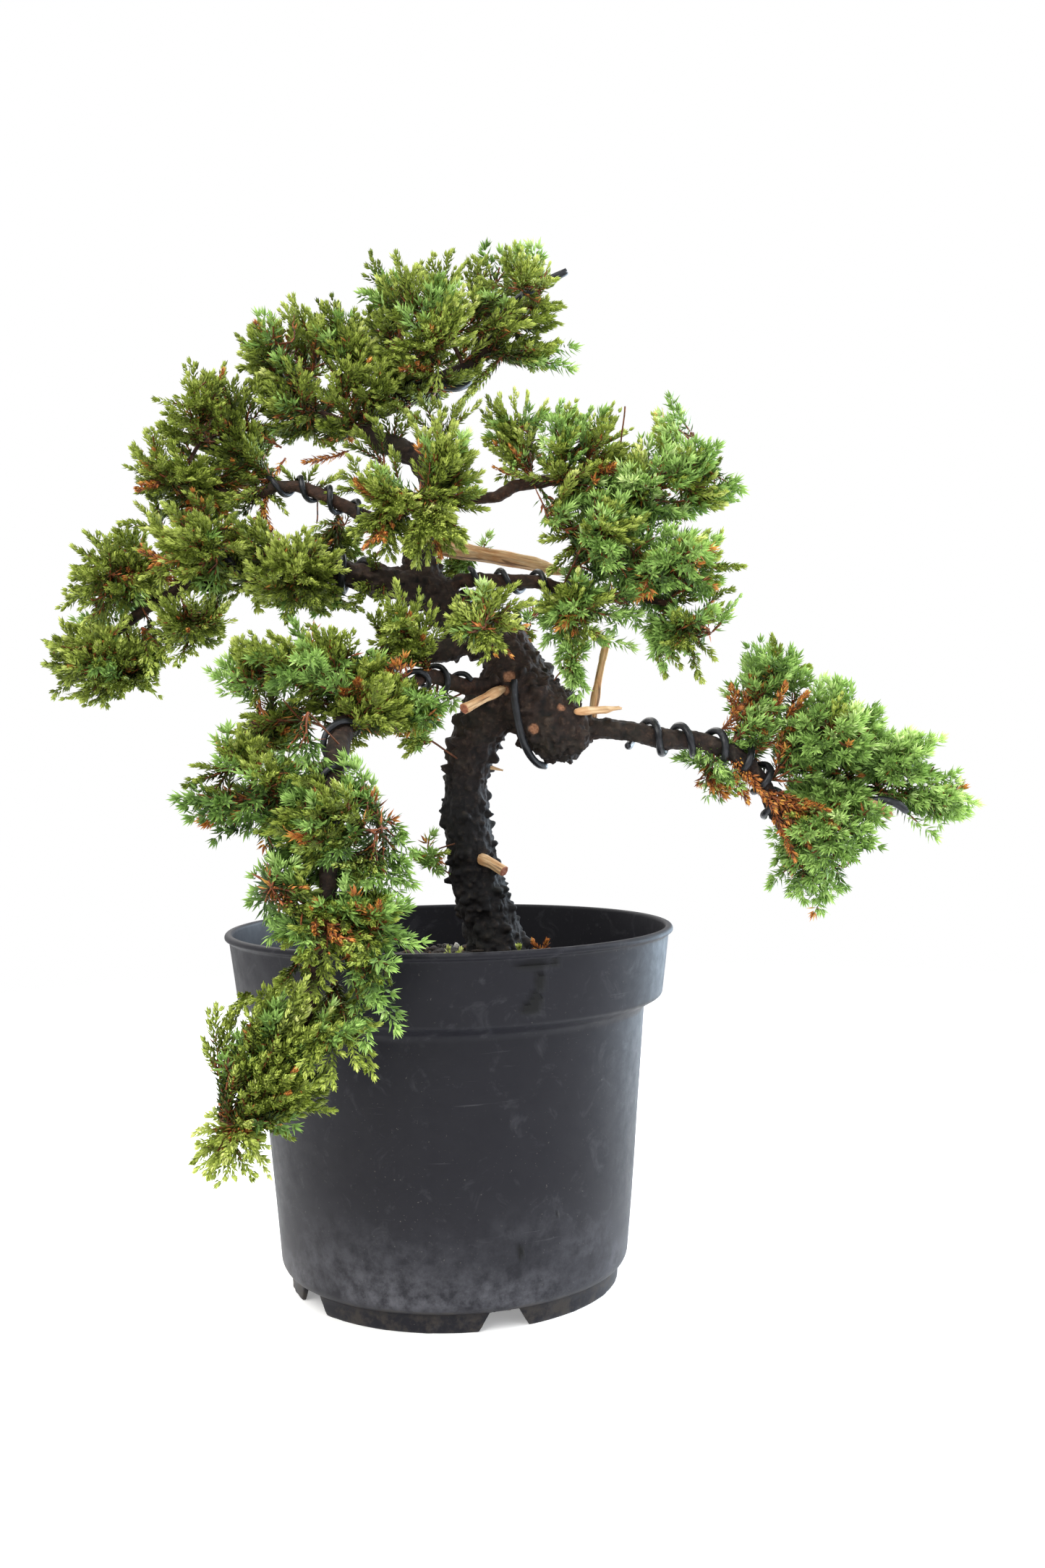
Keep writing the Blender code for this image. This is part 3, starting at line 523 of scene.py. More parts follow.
# One scale of tones: olive needles, then fresh green ones, then dead ones and bark.
TONES = [
    (0.00, (0.026, 0.038, 0.007)), (0.09, (0.095, 0.128, 0.018)), (0.18, (0.250, 0.320, 0.046)),
    (0.27, (0.460, 0.540, 0.110)), (0.35, (0.740, 0.780, 0.290)),
    (0.38, (0.022, 0.050, 0.012)), (0.47, (0.090, 0.170, 0.034)), (0.56, (0.240, 0.400, 0.088)),
    (0.65, (0.430, 0.630, 0.180)), (0.73, (0.720, 0.850, 0.400)),
    (0.79, (0.620, 0.360, 0.070)), (0.84, (0.560, 0.200, 0.050)), (0.89, (0.300, 0.085, 0.028)),
    (0.94, (0.120, 0.050, 0.028)), (1.00, (0.024, 0.016, 0.012)),
]
TONE_SPAN = 0.35
TONE_FRESH = 0.38
TONE_DEAD = 0.83
TONE_TWIG = 0.93
TONE_WOOD = 0.985


def needle_look():
    """Waxy green needles, paler towards the point."""
    look = Look("juniper_needles")
    tone = look.value("tone")
    along = look.value("along")
    colour = look.ramp(tone, TONES)
    bright = look.ramp(along, [(0.0, 0.50), (0.45, 0.95), (1.0, 1.35)])
    colour = look.mix(1.0, colour, bright, "MULTIPLY")
    rough = look.ramp(along, [(0.0, 0.62), (1.0, 0.42)])
    ridge = look.noise(0.5, 2)
    normal = look.bump(ridge, 0.05, 0.3)
    return look.finish(colour, rough, normal, Specular_IOR_Level=0.3)


BARK = bark_look()
WOOD = wood_look()
WIRE = wire_look()
PLASTIC = pot_look()
MIX = mix_look()
NEEDLE = needle_look()


# ---------------------------------------------------------------- trunk and branches

BARK_GRID = 0.72
STUB_GRID = 0.34

# Cut scars: place in millimetres from the pot's foot, radius, depth
SCARS = [
    (27.9, -12.5, 267.0, 3.0, 0.5), (26.4, -12.0, 261.6, 2.6, 0.6),
    (37.8, -18.0, 243.8, 2.6, 0.6), (50.0, -18.5, 253.0, 2.0, 0.4),
    (12.0, 12.0, 205.0, 2.4, 0.5), (34.0, 12.5, 262.0, 3.4, 0.6),
]


def bark_relief(mm, thick):
    """Height of the bark over a smooth stem, in millimetres, and its fine relief."""
    warp = np.stack([noise(mm, 6.0, seed) for seed in (11, 12, 13)], axis=1)
    lumps = noise(mm, 14.0, 1) * 0.8 + noise(mm, 7.0, 2) * 0.7
    plates = noise(mm + warp * 1.6, (3.0, 3.0, 3.8), 3) * 3.2
    floor = np.floor(plates)
    plates = (floor + smooth_step(0.62, 1.0, plates - floor)) / 3.2
    crumbs = np.clip(noise(mm, 2.3, 4), -0.1, None) * 0.9 + noise(mm, 1.5, 6) * 0.42
    knobs = np.clip(noise(mm, 4.2, 5) - 0.40, 0, None) * 6.5
    knobs += np.clip(noise(mm, 2.6, 7) - 0.5, 0, None) * 4.5
    rough = plates * 0.55 + crumbs
    scale = np.clip(thick / 9.0, 0.16, 1.0)
    height = (lumps + rough + knobs * np.clip(thick / 9.0, 0, 1)) * scale - 0.35 * scale
    return np.clip(height, -1.6, 3.4), rough


def build_bark():
    """One skin of flaking bark over the trunk and every branch, with its cut scars."""
    points, faces = node_arrays(*STEMS)
    mesh = remeshed(points, faces, BARK_GRID * MM, 4, 0.30 * MM)
    places, normals = mesh_points(mesh), mesh_normals(mesh)
    tree = BVHTree.FromPolygons([tuple(p) for p in places], [tuple(f.vertices) for f in mesh.polygons])
    thick = np.empty(len(places))
    for index, (place, normal) in enumerate(zip(places, normals)):
        hit = tree.ray_cast(place - normal * 0.2 * MM, -normal, 0.05)
        thick[index] = 8.0 if hit[3] is None else hit[3] / MM / 2
    thick = np.clip(thick, 0.5, 16)
    mm = (places - POT_AXIS) / MM
    height, rough = bark_relief(mm, thick)
    scar = np.zeros(len(places))
    for x, y, z, radius, depth in SCARS:
        away = np.linalg.norm(mm - (x, y, z), axis=1) / radius
        inside = 1 - smooth_step(0.75, 1.0, away)
        lip = np.exp(-((away - 1.15) / 0.22) ** 2)
        height = height * (1 - inside) + inside * (-depth * (0.6 + 0.4 * away)) + lip * 0.55
        scar = np.maximum(scar, inside)
    move_points(mesh, places + normals * (height * MM)[:, None])
    set_value(mesh, "relief", np.clip(rough / 2.0 + 0.42, 0, 1))
    set_value(mesh, "young", (1 - smooth_step(1.2, 5.0, thick)) * (0.75 + 0.25 * noise(mm, 9, 21)))
    set_value(mesh, "scar", scar)
    set_value(mesh, "high", smooth_step(205, 255, mm[:, 2] + 6 * noise(mm, 18, 22)))
    add_piece("bark_of_trunk_and_branches", mesh, BARK, "bark", *STEMS)


# ---------------------------------------------------------------- bare stubs

def grain_frame(places):
    """Place of each point along and around the longest way through a stub."""
    middle = places.mean(0)
    _, _, axes = np.linalg.svd(places - middle, full_matrices=False)
    trunk = at(22, 0, 262)
    if np.dot(axes[0], middle - trunk) < 0:
        axes[0] = -axes[0]
    return (places - middle) @ axes.T, axes


def build_stub(name, tear, cut):
    """Dead wood with raised grain, and a torn or a cleanly cut free end."""
    points, faces = node_arrays(name)
    mesh = remeshed(points, faces, STUB_GRID * MM, 3, 0.05 * MM)
    places, normals = mesh_points(mesh), mesh_normals(mesh)
    local, axes = grain_frame(places)
    mm = local / MM
    fibres = noise(mm, (14, 0.8, 0.8), 31) * 0.16 + noise(mm, (22, 1.8, 1.8), 32) * 0.26
    cracks = np.clip(noise(mm, (18, 1.4, 1.4), 33) - 0.35, 0, None) * -1.3
    bends = noise(mm, 7.0, 34) * 0.35
    reach = mm[:, 0].max()
    from_end = reach - mm[:, 0]
    facing = np.clip(normals @ axes[0], 0, 1)
    height = (fibres + cracks + bends) * (1 - 0.7 * facing)
    section = mm * (0, 1, 1)
    spikes = np.clip(noise(section, 0.75, 35) * 0.5 + 0.5 + noise(section, 1.9, 36) * 0.5, 0, 1.3)
    pull = spikes * tear * np.exp(-from_end / 1.4)
    moved = places + normals * (height * MM)[:, None] + axes[0] * (pull * MM)[:, None]
    move_points(mesh, moved)
    set_vector(mesh, "grain", local)
    end = facing ** 2 * np.exp(-from_end / 1.2) if cut else np.zeros(len(mm))
    set_value(mesh, "end_grain", np.clip(end * 1.3, 0, 1))
    add_piece(name + "_wood", mesh, WOOD, "bleached_wood", name)


# ---------------------------------------------------------------- wire

def build_wire(name):
    """A wire made round again, with shallow dents."""
    points, faces = node_arrays(name)
    mesh = make_mesh(name, points, faces)
    mesh = modified(
        mesh, ("SUBSURF", {"levels": 2, "render_levels": 2}),
        ("SMOOTH", {"factor": 0.4, "iterations": 2}))
    places, normals = mesh_points(mesh), mesh_normals(mesh)
    dents = noise(places / MM, 4.5, 41) * 0.10 + noise(places / MM, 1.5, 42) * 0.04
    move_points(mesh, places + normals * ((dents + 0.10) * MM)[:, None])
    set_smooth(mesh, True)
    add_piece(name + "_metal", mesh, WIRE, "black_wire", name)


# ---------------------------------------------------------------- pot

def rounded(corners, radius, steps=4):
    """Round the corners of an outline of (r, z) pairs; each corner may be blunted less."""
    result = [corners[0]]
    for before, corner, after in zip(corners, corners[1:], corners[2:]):
        before, corner, after = map(np.array, (before, corner, after))
        one, two = before - corner, after - corner
        size = min(radius, np.linalg.norm(one) / 2.2, np.linalg.norm(two) / 2.2)
        start = corner + one / np.linalg.norm(one) * size
        stop = corner + two / np.linalg.norm(two) * size
        for step in range(steps + 1):
            t = step / steps
            result.append(tuple((1 - t) ** 2 * start + 2 * t * (1 - t) * corner + t * t * stop))
    result.append(corners[-1])
    return result


def split_long(outline, longest):
    """Cut the long sides of an outline into equal lengths."""
    result = [outline[0]]
    for a, b in zip(outline, outline[1:]):
        a, b = np.array(a), np.array(b)
        count = max(int(np.linalg.norm(b - a) / longest), 1)
        for step in range(1, count + 1):
            result.append(tuple(a + (b - a) * step / count))
    return result


def ring(radius, z, angles):
    """Points in millimetres around the pot's axis; angle 0 faces the front."""
    return np.stack([radius * np.sin(angles), -radius * np.cos(angles), np.zeros(len(angles)) + z], 1)


def lathe_faces(rings, segments, closed):
    """Quads between rings of points; a closed outline joins its last ring to its first."""
    faces = []
    for number in range(rings if closed else rings - 1):
        start, following = number * segments, (number + 1) % rings * segments
        along = np.arange(segments)
        after = (along + 1) % segments
        faces.append(np.stack([start + along, start + after, following + after, following + along], 1))
    return np.concatenate(faces)


def notch_height(angles):
    """How far the foot ring is cut away at each angle, from the floor up."""
    height = np.zeros(len(angles))
    for index in range(NOTCH_COUNT):
        centre = math.radians(NOTCH_FIRST_ANGLE + index * 360 / NOTCH_COUNT)
        turn = (angles - centre + math.pi) % (2 * math.pi) - math.pi
        across = np.abs(np.sin(turn)) * FOOT_RADIUS + (np.abs(turn) > 1) * 100
        slope = (NOTCH_BOTTOM_WIDTH - NOTCH_TOP_WIDTH) / 2
        share = np.clip((NOTCH_BOTTOM_WIDTH / 2 - across) / slope, 0, 1)
        height = np.maximum(height, share * (FOOT_HEIGHT - 0.1))
    return height


def pot_levels():
    """Radius at the band's top and foot and its lowest level, then the same of the body's top."""
    band_top = RIM_RADIUS - BEAD_PROUD
    band_foot = band_top - BAND_TAPER
    band_z = POT_HEIGHT - BAND_HEIGHT
    return band_top, band_foot, band_z, band_foot - BAND_STEP, band_z - BAND_STEP * 0.6


def pot_outline():
    """The wall's section as (r, z) pairs: up the inside, down the outside, round the foot."""
    band_top, band_foot, band_z, body_top, body_z = pot_levels()
    bead_z = POT_HEIGHT - BEAD_HEIGHT
    edge_depth = BODY_FOOT_RADIUS - FOOT_RADIUS
    edge = []
    for degrees in range(0, 91, 10):
        angle = math.radians(degrees)
        edge.append((FOOT_RADIUS + edge_depth * math.cos(angle), EDGE_Z - EDGE_ROUND * math.sin(angle)))
    inside = [
        (BODY_FOOT_RADIUS - WALL - 3.0, FLOOR_Z - 1.0), (BODY_FOOT_RADIUS - WALL, EDGE_Z),
        (body_top - WALL, body_z + 0.4), (band_foot - WALL, band_z + 1.8),
        (band_top - WALL, POT_HEIGHT - 1.0)]
    outside = [
        (band_top - WALL + 0.6, POT_HEIGHT), (RIM_RADIUS - 1.0, POT_HEIGHT),
        (RIM_RADIUS, POT_HEIGHT - 1.0), (RIM_RADIUS, bead_z + 0.8), (band_top, bead_z),
        (band_foot + 0.1, band_z + 1.0), (band_foot - 0.9, band_z),
        (body_top + 1.4, body_z + 1.6), (body_top, body_z - 0.6)]
    foot = [
        (FOOT_RADIUS - 0.1, FOOT_HEIGHT * 0.6), (FOOT_RADIUS - 0.3, 2.5),
        (FOOT_RADIUS - 0.45, 0.7), (FOOT_RADIUS - 0.9, 0.0),
        (FOOT_INNER + 0.4, 0.0), (FOOT_INNER, 0.5), (FOOT_INNER, FOOT_HEIGHT * 0.6),
        (FOOT_INNER, FOOT_HEIGHT + 0.4)]
    return split_long(rounded(inside + outside + edge, 1.1) + foot, 2.2)


def build_pot():
    """The wall with its band, bead and notched foot ring, slightly out of round."""
    outline = pot_outline()
    angles = np.linspace(0, 2 * math.pi, POT_SEGMENTS, endpoint=False)
    circle = np.stack([np.cos(angles), np.sin(angles), angles * 0], 1)
    rag = np.clip(noise(circle * FOOT_RADIUS, 3.0, 51), 0, 1) * 0.9
    lift = notch_height(angles)
    lift = np.where(lift > 0.05, lift - rag * (lift > 4) * 0.8, 0)
    rings = []
    for radius, z in outline:
        here = np.full(POT_SEGMENTS, float(z))
        wide = np.full(POT_SEGMENTS, float(radius))
        if z < FOOT_HEIGHT - 0.05 and radius <= FOOT_RADIUS:
            here = np.maximum(here, lift + z * 0.02)
            wide += rag * (0.35 if radius > FOOT_INNER + 1 else 0.0) * (z < 2)
        around = np.stack([np.cos(angles) * 40, np.sin(angles) * 40, here * 0.5], 1)
        wide += noise(around, 22.0, 52) * 0.35 * (radius > FOOT_RADIUS - 3)
        rings.append(ring(wide, here, angles))
    mm = np.concatenate(rings)
    mesh = make_mesh("pot", mm * MM + POT_AXIS, lathe_faces(len(outline), POT_SEGMENTS, True))
    turned_outward(mesh)
    set_wear(mesh, mm, np.tile(angles, len(outline)))
    add_piece("pot_shell", mesh, PLASTIC, "pot_plastic", "nursery_pot")


def set_wear(mesh, mm, angle):
    """Store where the pot is hazed, wet or soiled, and its wrapped place for scratches."""
    band_top, band_foot, band_z, body_top, body_z = pot_levels()
    radius, z = np.hypot(mm[:, 0], mm[:, 1]), mm[:, 2]
    skin = np.interp(z, [0, EDGE_Z, body_z, band_z, POT_HEIGHT],
                     [FOOT_RADIUS - 0.5, BODY_FOOT_RADIUS, body_top, band_foot, band_top])
    outer = smooth_step(-0.8, -0.2, radius - skin)
    haze = outer * (smooth_step(62, 14, z) * 0.55 + smooth_step(30, 12, z) * 0.45)
    haze = haze * (0.45 + 0.55 * smooth_step(-0.2, 0.5, noise(mm, (30, 30, 16), 53)))
    haze = haze * (0.35 + 0.65 * smooth_step(7, 13, z))
    # The rim's top edge is made paler.
    haze += 0.25 * smooth_step(POT_HEIGHT - 1.6, POT_HEIGHT - 0.2, z)
    set_value(mesh, "haze", np.clip(haze, 0, 1))
    set_value(mesh, "wet", wet_marks(angle, z, outer))
    inner = radius < np.interp(z, (FOOT_HEIGHT, body_z), (BODY_FOOT_RADIUS, body_top)) - 1.2
    set_value(mesh, "grime", smooth_step(9, 3, z) * 0.22 + inner * 0.5 * smooth_step(120, 100, z))
    set_vector(mesh, "wrap", np.stack([angle * WRAP_RADIUS, z, radius], 1) * MM)


def wet_marks(angle, z, outer):
    """Drips that ran down the band, and a few stray drops."""
    wet = np.zeros(len(angle))
    turn = np.degrees((angle + math.pi) % (2 * math.pi) - math.pi)
    for centre, level, half_width, half_height in DRIPS:
        across = np.radians(turn - centre) * WRAP_RADIUS / half_width
        away = np.hypot(across, (z - level) / half_height)
        away += 0.25 * noise(np.stack([turn, z, z * 0], 1), 3.5, 54)
        wet = np.maximum(wet, 1 - smooth_step(0.55, 1.25, away))
    return wet * outer


def build_pot_floor():
    """The floor inside the foot ring, with a drain hole beside each notch."""
    outline = [(0.01, FOOT_HEIGHT), (30, FOOT_HEIGHT), (FOOT_INNER + 1.2, FOOT_HEIGHT),
               (FOOT_INNER + 1.2, FLOOR_Z), (30, FLOOR_Z), (0.01, FLOOR_Z)]
    angles = np.linspace(0, 2 * math.pi, FLOOR_SEGMENTS, endpoint=False)
    rings = [ring(radius, z, angles) for radius, z in outline]
    mesh = make_mesh("floor", np.concatenate(rings) * MM + POT_AXIS,
                     lathe_faces(len(outline), FLOOR_SEGMENTS, True))
    turned_outward(mesh, 0.05)
    drill = bmesh.new()
    for index in range(NOTCH_COUNT):
        angle = math.radians(NOTCH_FIRST_ANGLE + index * 360 / NOTCH_COUNT)
        middle = at(*ring(DRAIN_HOLE_CIRCLE, FOOT_HEIGHT, np.array([angle]))[0])
        bmesh.ops.create_cone(
            drill, cap_ends=True, segments=32, radius1=DRAIN_HOLE_RADIUS * MM,
            radius2=DRAIN_HOLE_RADIUS * MM, depth=12 * MM, matrix=Matrix.Translation(Vector(middle)))
    drills = bpy.data.meshes.new("drills")
    drill.to_mesh(drills)
    drill.free()
    tool = bpy.data.objects.new("drills", drills)
    bpy.context.scene.collection.objects.link(tool)
    holes = ("BOOLEAN", {"operation": "DIFFERENCE", "object": tool, "solver": "EXACT"})
    bevel = ("BEVEL", {"width": 0.4 * MM, "segments": 2, "limit_method": "ANGLE"})
    mesh = modified(mesh, holes, bevel)
    bpy.data.objects.remove(tool, do_unlink=True)
    bpy.data.meshes.remove(drills)
    count = len(mesh.vertices)
    for name, level in (("haze", 0.1), ("wet", 0.0), ("grime", 0.7)):
        set_value(mesh, name, np.full(count, level))
    set_vector(mesh, "wrap", mesh_points(mesh))
    set_smooth(mesh, False)
    add_piece("pot_floor", mesh, PLASTIC, "pot_plastic", "nursery_pot")


# ---------------------------------------------------------------- potting mix

def soil_height(x, y):
    """Level of the mix, in millimetres, at a place measured from the pot's axis."""
    radius = np.hypot(x, y)
    edge = POT_HEIGHT - SOIL_EDGE_DROP
    smooth = np.interp(radius, [0, 20, 45, 70, 94], [
        edge + SOIL_MOUND, edge + SOIL_MOUND - 0.5, edge + SOIL_MOUND * 0.65,
        edge + SOIL_MOUND * 0.27, edge])
    flat = np.stack([x, y, x * 0], 1)
    humps = noise(flat, 14, 61) * 1.5 + noise(flat, 5.5, 62) * 0.9 + noise(flat, 2.4, 63) * 0.5
    return smooth - 0.8 + humps


def build_soil_bed():
    """The uneven top of the mix, and its sides down to the pot's floor."""
    _, band_foot, band_z, body_top, body_z = pot_levels()
    inset = WALL + 0.4
    rim = band_foot - inset + 0.6
    angles = np.linspace(0, 2 * math.pi, SOIL_SEGMENTS, endpoint=False)
    rings = []
    for share in np.linspace(0.0, 1.0, SOIL_RINGS):
        radius = 0.4 + share * (rim - 0.4)
        x, y = radius * np.sin(angles), -radius * np.cos(angles)
        rings.append(np.stack([x, y, soil_height(x, y)], 1))
    sides = [(rim - 0.5, band_z + 2.2), (body_top - inset, body_z + 0.8),
             (BODY_FOOT_RADIUS - inset, EDGE_Z), (BODY_FOOT_RADIUS - inset - 3.2, FLOOR_Z + 0.4),
             (0.4, FLOOR_Z + 0.4)]
    for radius, z in sides:
        rings.append(ring(radius, z, angles))
    mm = np.concatenate(rings)
    mesh = make_mesh("soil", mm * MM + POT_AXIS, lathe_faces(len(rings), SOIL_SEGMENTS, False))
    set_value(mesh, "tint", np.clip(0.16 + noise(mm, 2.2, 64) * 0.22, 0, 0.5))
    add_piece("potting_mix_bed", mesh, MIX, "potting_mix", "potting_mix")


def pebble_shapes(rng):
    """Corners and faces of a few lumpy pebbles and chips, each about one across."""
    work = bmesh.new()
    bmesh.ops.create_icosphere(work, subdivisions=2, radius=0.5)
    ball = np.array([tuple(v.co) for v in work.verts])
    faces = np.array([[v.index for v in f.verts] for f in work.faces])
    work.free()
    shapes = []
    for index in range(8):
        shape = ball * (1 + 0.32 * noise(ball + index * 7.3, 0.42, 70 + index))[:, None]
        shapes.append(shape * rng.uniform(0.75, 1.15, 3))
    return shapes, faces


def random_turns(count, rng):
    """Random rotation matrices."""
    q = unit(rng.normal(size=(count, 4)))
    w, x, y, z = q.T
    return np.stack([
        np.stack([1 - 2 * (y * y + z * z), 2 * (x * y - z * w), 2 * (x * z + y * w)], 1),
        np.stack([2 * (x * y + z * w), 1 - 2 * (x * x + z * z), 2 * (y * z - x * w)], 1),
        np.stack([2 * (x * z - y * w), 2 * (y * z + x * w), 1 - 2 * (x * x + y * y)], 1)], 1)


def build_grains():
    """Loose grains, chips and perlite that lie on the mix."""
    rng = np.random.default_rng(8)
    shapes, faces = pebble_shapes(rng)
    points, tints, triangles, start = [], [], [], 0
    for count, size, spread, flat, long, tint, place in GRAINS:
        if place:
            x = rng.normal(place[0], place[2], count)
            y = rng.normal(place[1], place[2] * 0.5, count)
        else:
            radius = GRAIN_REACH * np.sqrt(rng.uniform(0, 1, count))
            angle = rng.uniform(0, 2 * math.pi, count)
            x, y = radius * np.cos(angle), radius * np.sin(angle)
        sizes = np.clip(rng.normal(size, spread, count), 0.7, 5)
        turns = random_turns(count, rng)
        tilt = rng.uniform(0, 2 * math.pi, count)
        level = soil_height(x, y)
        for index in range(count):
            shape = shapes[index % len(shapes)] * sizes[index]
            if flat < LONG_CHIPS_BELOW:
                c, s = math.cos(tilt[index]), math.sin(tilt[index])
                lay = np.array([[c, -s, 0], [s, c, 0], [0, 0, 1]])
                shape = (shape * (long, 1.0, flat)) @ lay.T + shape[:, :1] * (0, 0, 0.15)
            else:
                shape = (shape * (long, 1.0, flat)) @ turns[index].T
            points.append(shape + (x[index], y[index], level[index] + sizes[index] * 0.18 * flat))
            tints.append(np.full(len(shape), tint + rng.normal(0, 0.03)))
            triangles.append(faces + start)
            start += len(shape)
    mm = np.concatenate(points)
    mesh = make_mesh("grains", mm * MM + POT_AXIS, np.concatenate(triangles))
    set_value(mesh, "tint", np.clip(np.concatenate(tints), 0, 1))
    add_piece("potting_mix_grit", mesh, MIX, "potting_mix", "potting_mix")


# ---------------------------------------------------------------- foliage

class Twigs:
    """Points of branching twigs; each knows the point it grew from and how many ends it feeds."""

    def __init__(self, places, parents):
        self.places = places
        self.parents = parents
        self.load = np.ones(len(places))
        self.load[parents[parents >= 0]] = 0
        for index in range(len(places) - 1, -1, -1):
            if parents[index] >= 0:
                self.load[parents[index]] += self.load[index]


def grow_twigs(starts, targets, rng, step, kill, lift):
    """Grow twigs from the starts until they have come near every target."""
    places = np.array(starts)
    parents = np.full(len(places), -1)
    heading = np.zeros((len(places), 3))
    gaps = np.linalg.norm(targets[:, None] - places[None], axis=2)
    nearest = gaps.argmin(1)
    best = gaps.min(1)
    alive = best > kill
    misses = np.zeros(len(targets), int)
    for _ in range(90):
        live = np.flatnonzero(alive)
        if not len(live):
            break
        pull = np.zeros((len(places), 3))
        np.add.at(pull, nearest[live], unit(targets[live] - places[nearest[live]]))
        tips = np.unique(nearest[live])
        way = unit(pull[tips]) + 0.45 * heading[tips] + lift * UP
        way = unit(way + rng.normal(0, 0.13, (len(tips), 3)))
        fresh = places[tips] + way * step
        first = len(places)
        places = np.concatenate([places, fresh])
        parents = np.concatenate([parents, tips])
        heading = np.concatenate([heading, way])
        gaps = np.linalg.norm(targets[live][:, None] - fresh[None], axis=2)
        closest = gaps.argmin(1)
        gap = gaps.min(1)
        closer = gap < best[live]
        nearest[live[closer]] = first + closest[closer]
        best[live[closer]] = gap[closer]
        misses[live[~closer]] += 1
        alive &= (best > kill) & (misses < 3)
    kept = np.arange(len(places)) >= len(starts)
    kept[parents[kept & (parents >= 0)]] = True
    number = np.cumsum(kept) - 1
    parents = np.where(parents >= 0, number[parents], -1)[kept]
    return places[kept], parents


def relaxed(places, parents):
    """Take the zigzag out of twigs."""
    joined = np.flatnonzero(parents >= 0)
    total = np.zeros_like(places)
    count = np.zeros(len(places))
    np.add.at(total, parents[joined], places[joined])
    np.add.at(count, parents[joined], 1)
    inner = joined[count[joined] > 0]
    middle = (places[parents[inner]] + total[inner] / count[inner][:, None]) / 2
    result = places.copy()
    result[inner] = places[inner] * 0.5 + middle * 0.5
    return result


def side_axes(axis):
    """Two directions square to each axis and to each other."""
    helper = np.where(np.abs(axis[:, 2:]) < 0.9, UP, np.array([1.0, 0.0, 0.0]))
    across = unit(np.cross(axis, helper))
    return across, np.cross(axis, across)


def needle_arrays(base, way, back, length, width, tone):
    """Awl-shaped needles: a keeled blade that is widest below its middle."""
    across = unit(np.cross(way, back))
    length = length[:, None]
    width = width[:, None]
    wide = base + way * length * 0.36
    points = np.stack([
        base, wide + across * width, wide - across * width, wide + back * width * 0.75,
        base + way * length - back * length * 0.05], 1)
    along = np.tile([0.0, 0.4, 0.4, 0.45, 1.0], (len(base), 1))
    pattern = np.array([(0, 1, 3), (0, 3, 2), (1, 4, 3), (3, 4, 2)])
    first = np.arange(len(base))[:, None, None] * 5
    return points.reshape(-1, 3), (first + pattern).reshape(-1, 3), along.ravel(), np.repeat(tone, 5)


def twig_arrays(start, stop, thick_start, thick_stop, tone, rng):
    """Four-sided lengths of twig."""
    axis = unit(stop - start)
    across, other = side_axes(axis)
    corners = []
    for end, thick in ((start, thick_start), (stop, thick_stop)):
        for side in range(4):
            angle = math.pi / 2 * side
            out = across * math.cos(angle) + other * math.sin(angle)
            corners.append(end + out * thick[:, None])
    points = np.stack(corners, 1)
    pattern = []
    for side in range(4):
        after = (side + 1) % 4
        pattern += [(side, after, 4 + after), (side, 4 + after, 4 + side)]
    first = np.arange(len(start))[:, None, None] * 8
    along = np.repeat(rng.uniform(0.1, 0.9, len(start)), 8)
    return points.reshape(-1, 3), (first + np.array(pattern)).reshape(-1, 3), along, np.repeat(tone, 8)


def woody_arrays(twigs, rng):
    """The bare inner twigs, thicker where they carry more."""
    children = np.flatnonzero(twigs.parents >= 0)
    start = twigs.places[twigs.parents[children]]
    stop = twigs.places[children]
    thick = np.clip(0.36 * twigs.load[children] ** 0.36, 0.36, 1.5) * MM
    parent_thick = np.clip(0.36 * twigs.load[twigs.parents[children]] ** 0.36, 0.36, 1.5) * MM
    tone = TONE_TWIG + (TONE_WOOD - TONE_TWIG) * smooth_step(0.5, 1.1, thick / MM)
    tone = np.clip(tone + rng.normal(0, 0.012, len(tone)), 0, 1)
    return twig_arrays(start, stop, np.minimum(parent_thick, thick * 1.5), thick, tone, rng)


class Shoots:
    """Bent leafy shoots: start, bend and tip of each, its colour, and how it is clothed."""

    FIELDS = ("start", "bend", "tip", "light", "green", "cord", "dead", "fresh")

    def __init__(self, **fields):
        for name in self.FIELDS:
            setattr(self, name, np.asarray(fields[name]))
        self.length = (np.linalg.norm(self.bend - self.start, axis=1)
                       + np.linalg.norm(self.tip - self.bend, axis=1)) / MM

    def place(self, index, t):
        t = t[:, None]
        start, bend, tip = self.start[index], self.bend[index], self.tip[index]
        return start * (1 - t) ** 2 + bend * 2 * t * (1 - t) + tip * t * t

    def heading(self, index, t):
        t = t[:, None]
        start, bend, tip = self.start[index], self.bend[index], self.tip[index]
        return unit((bend - start) * (1 - t) + (tip - bend) * t)

    @classmethod
    def joined(cls, groups):
        return cls(**{name: np.concatenate([getattr(group, name) for group in groups])
                      for name in cls.FIELDS})

    def some(self, chosen):
        return Shoots(**{name: getattr(self, name)[chosen] for name in self.FIELDS})

    def stations(self, gap_mm):
        """Shoot number and share of the length at even gaps along every shoot."""
        counts = np.maximum((self.length / gap_mm).astype(int), 2)
        index = np.repeat(np.arange(len(counts)), counts)
        first = np.repeat(np.cumsum(counts) - counts, counts)
        number = np.arange(len(index)) - first
        return index, (number + 0.5) / counts[index], number


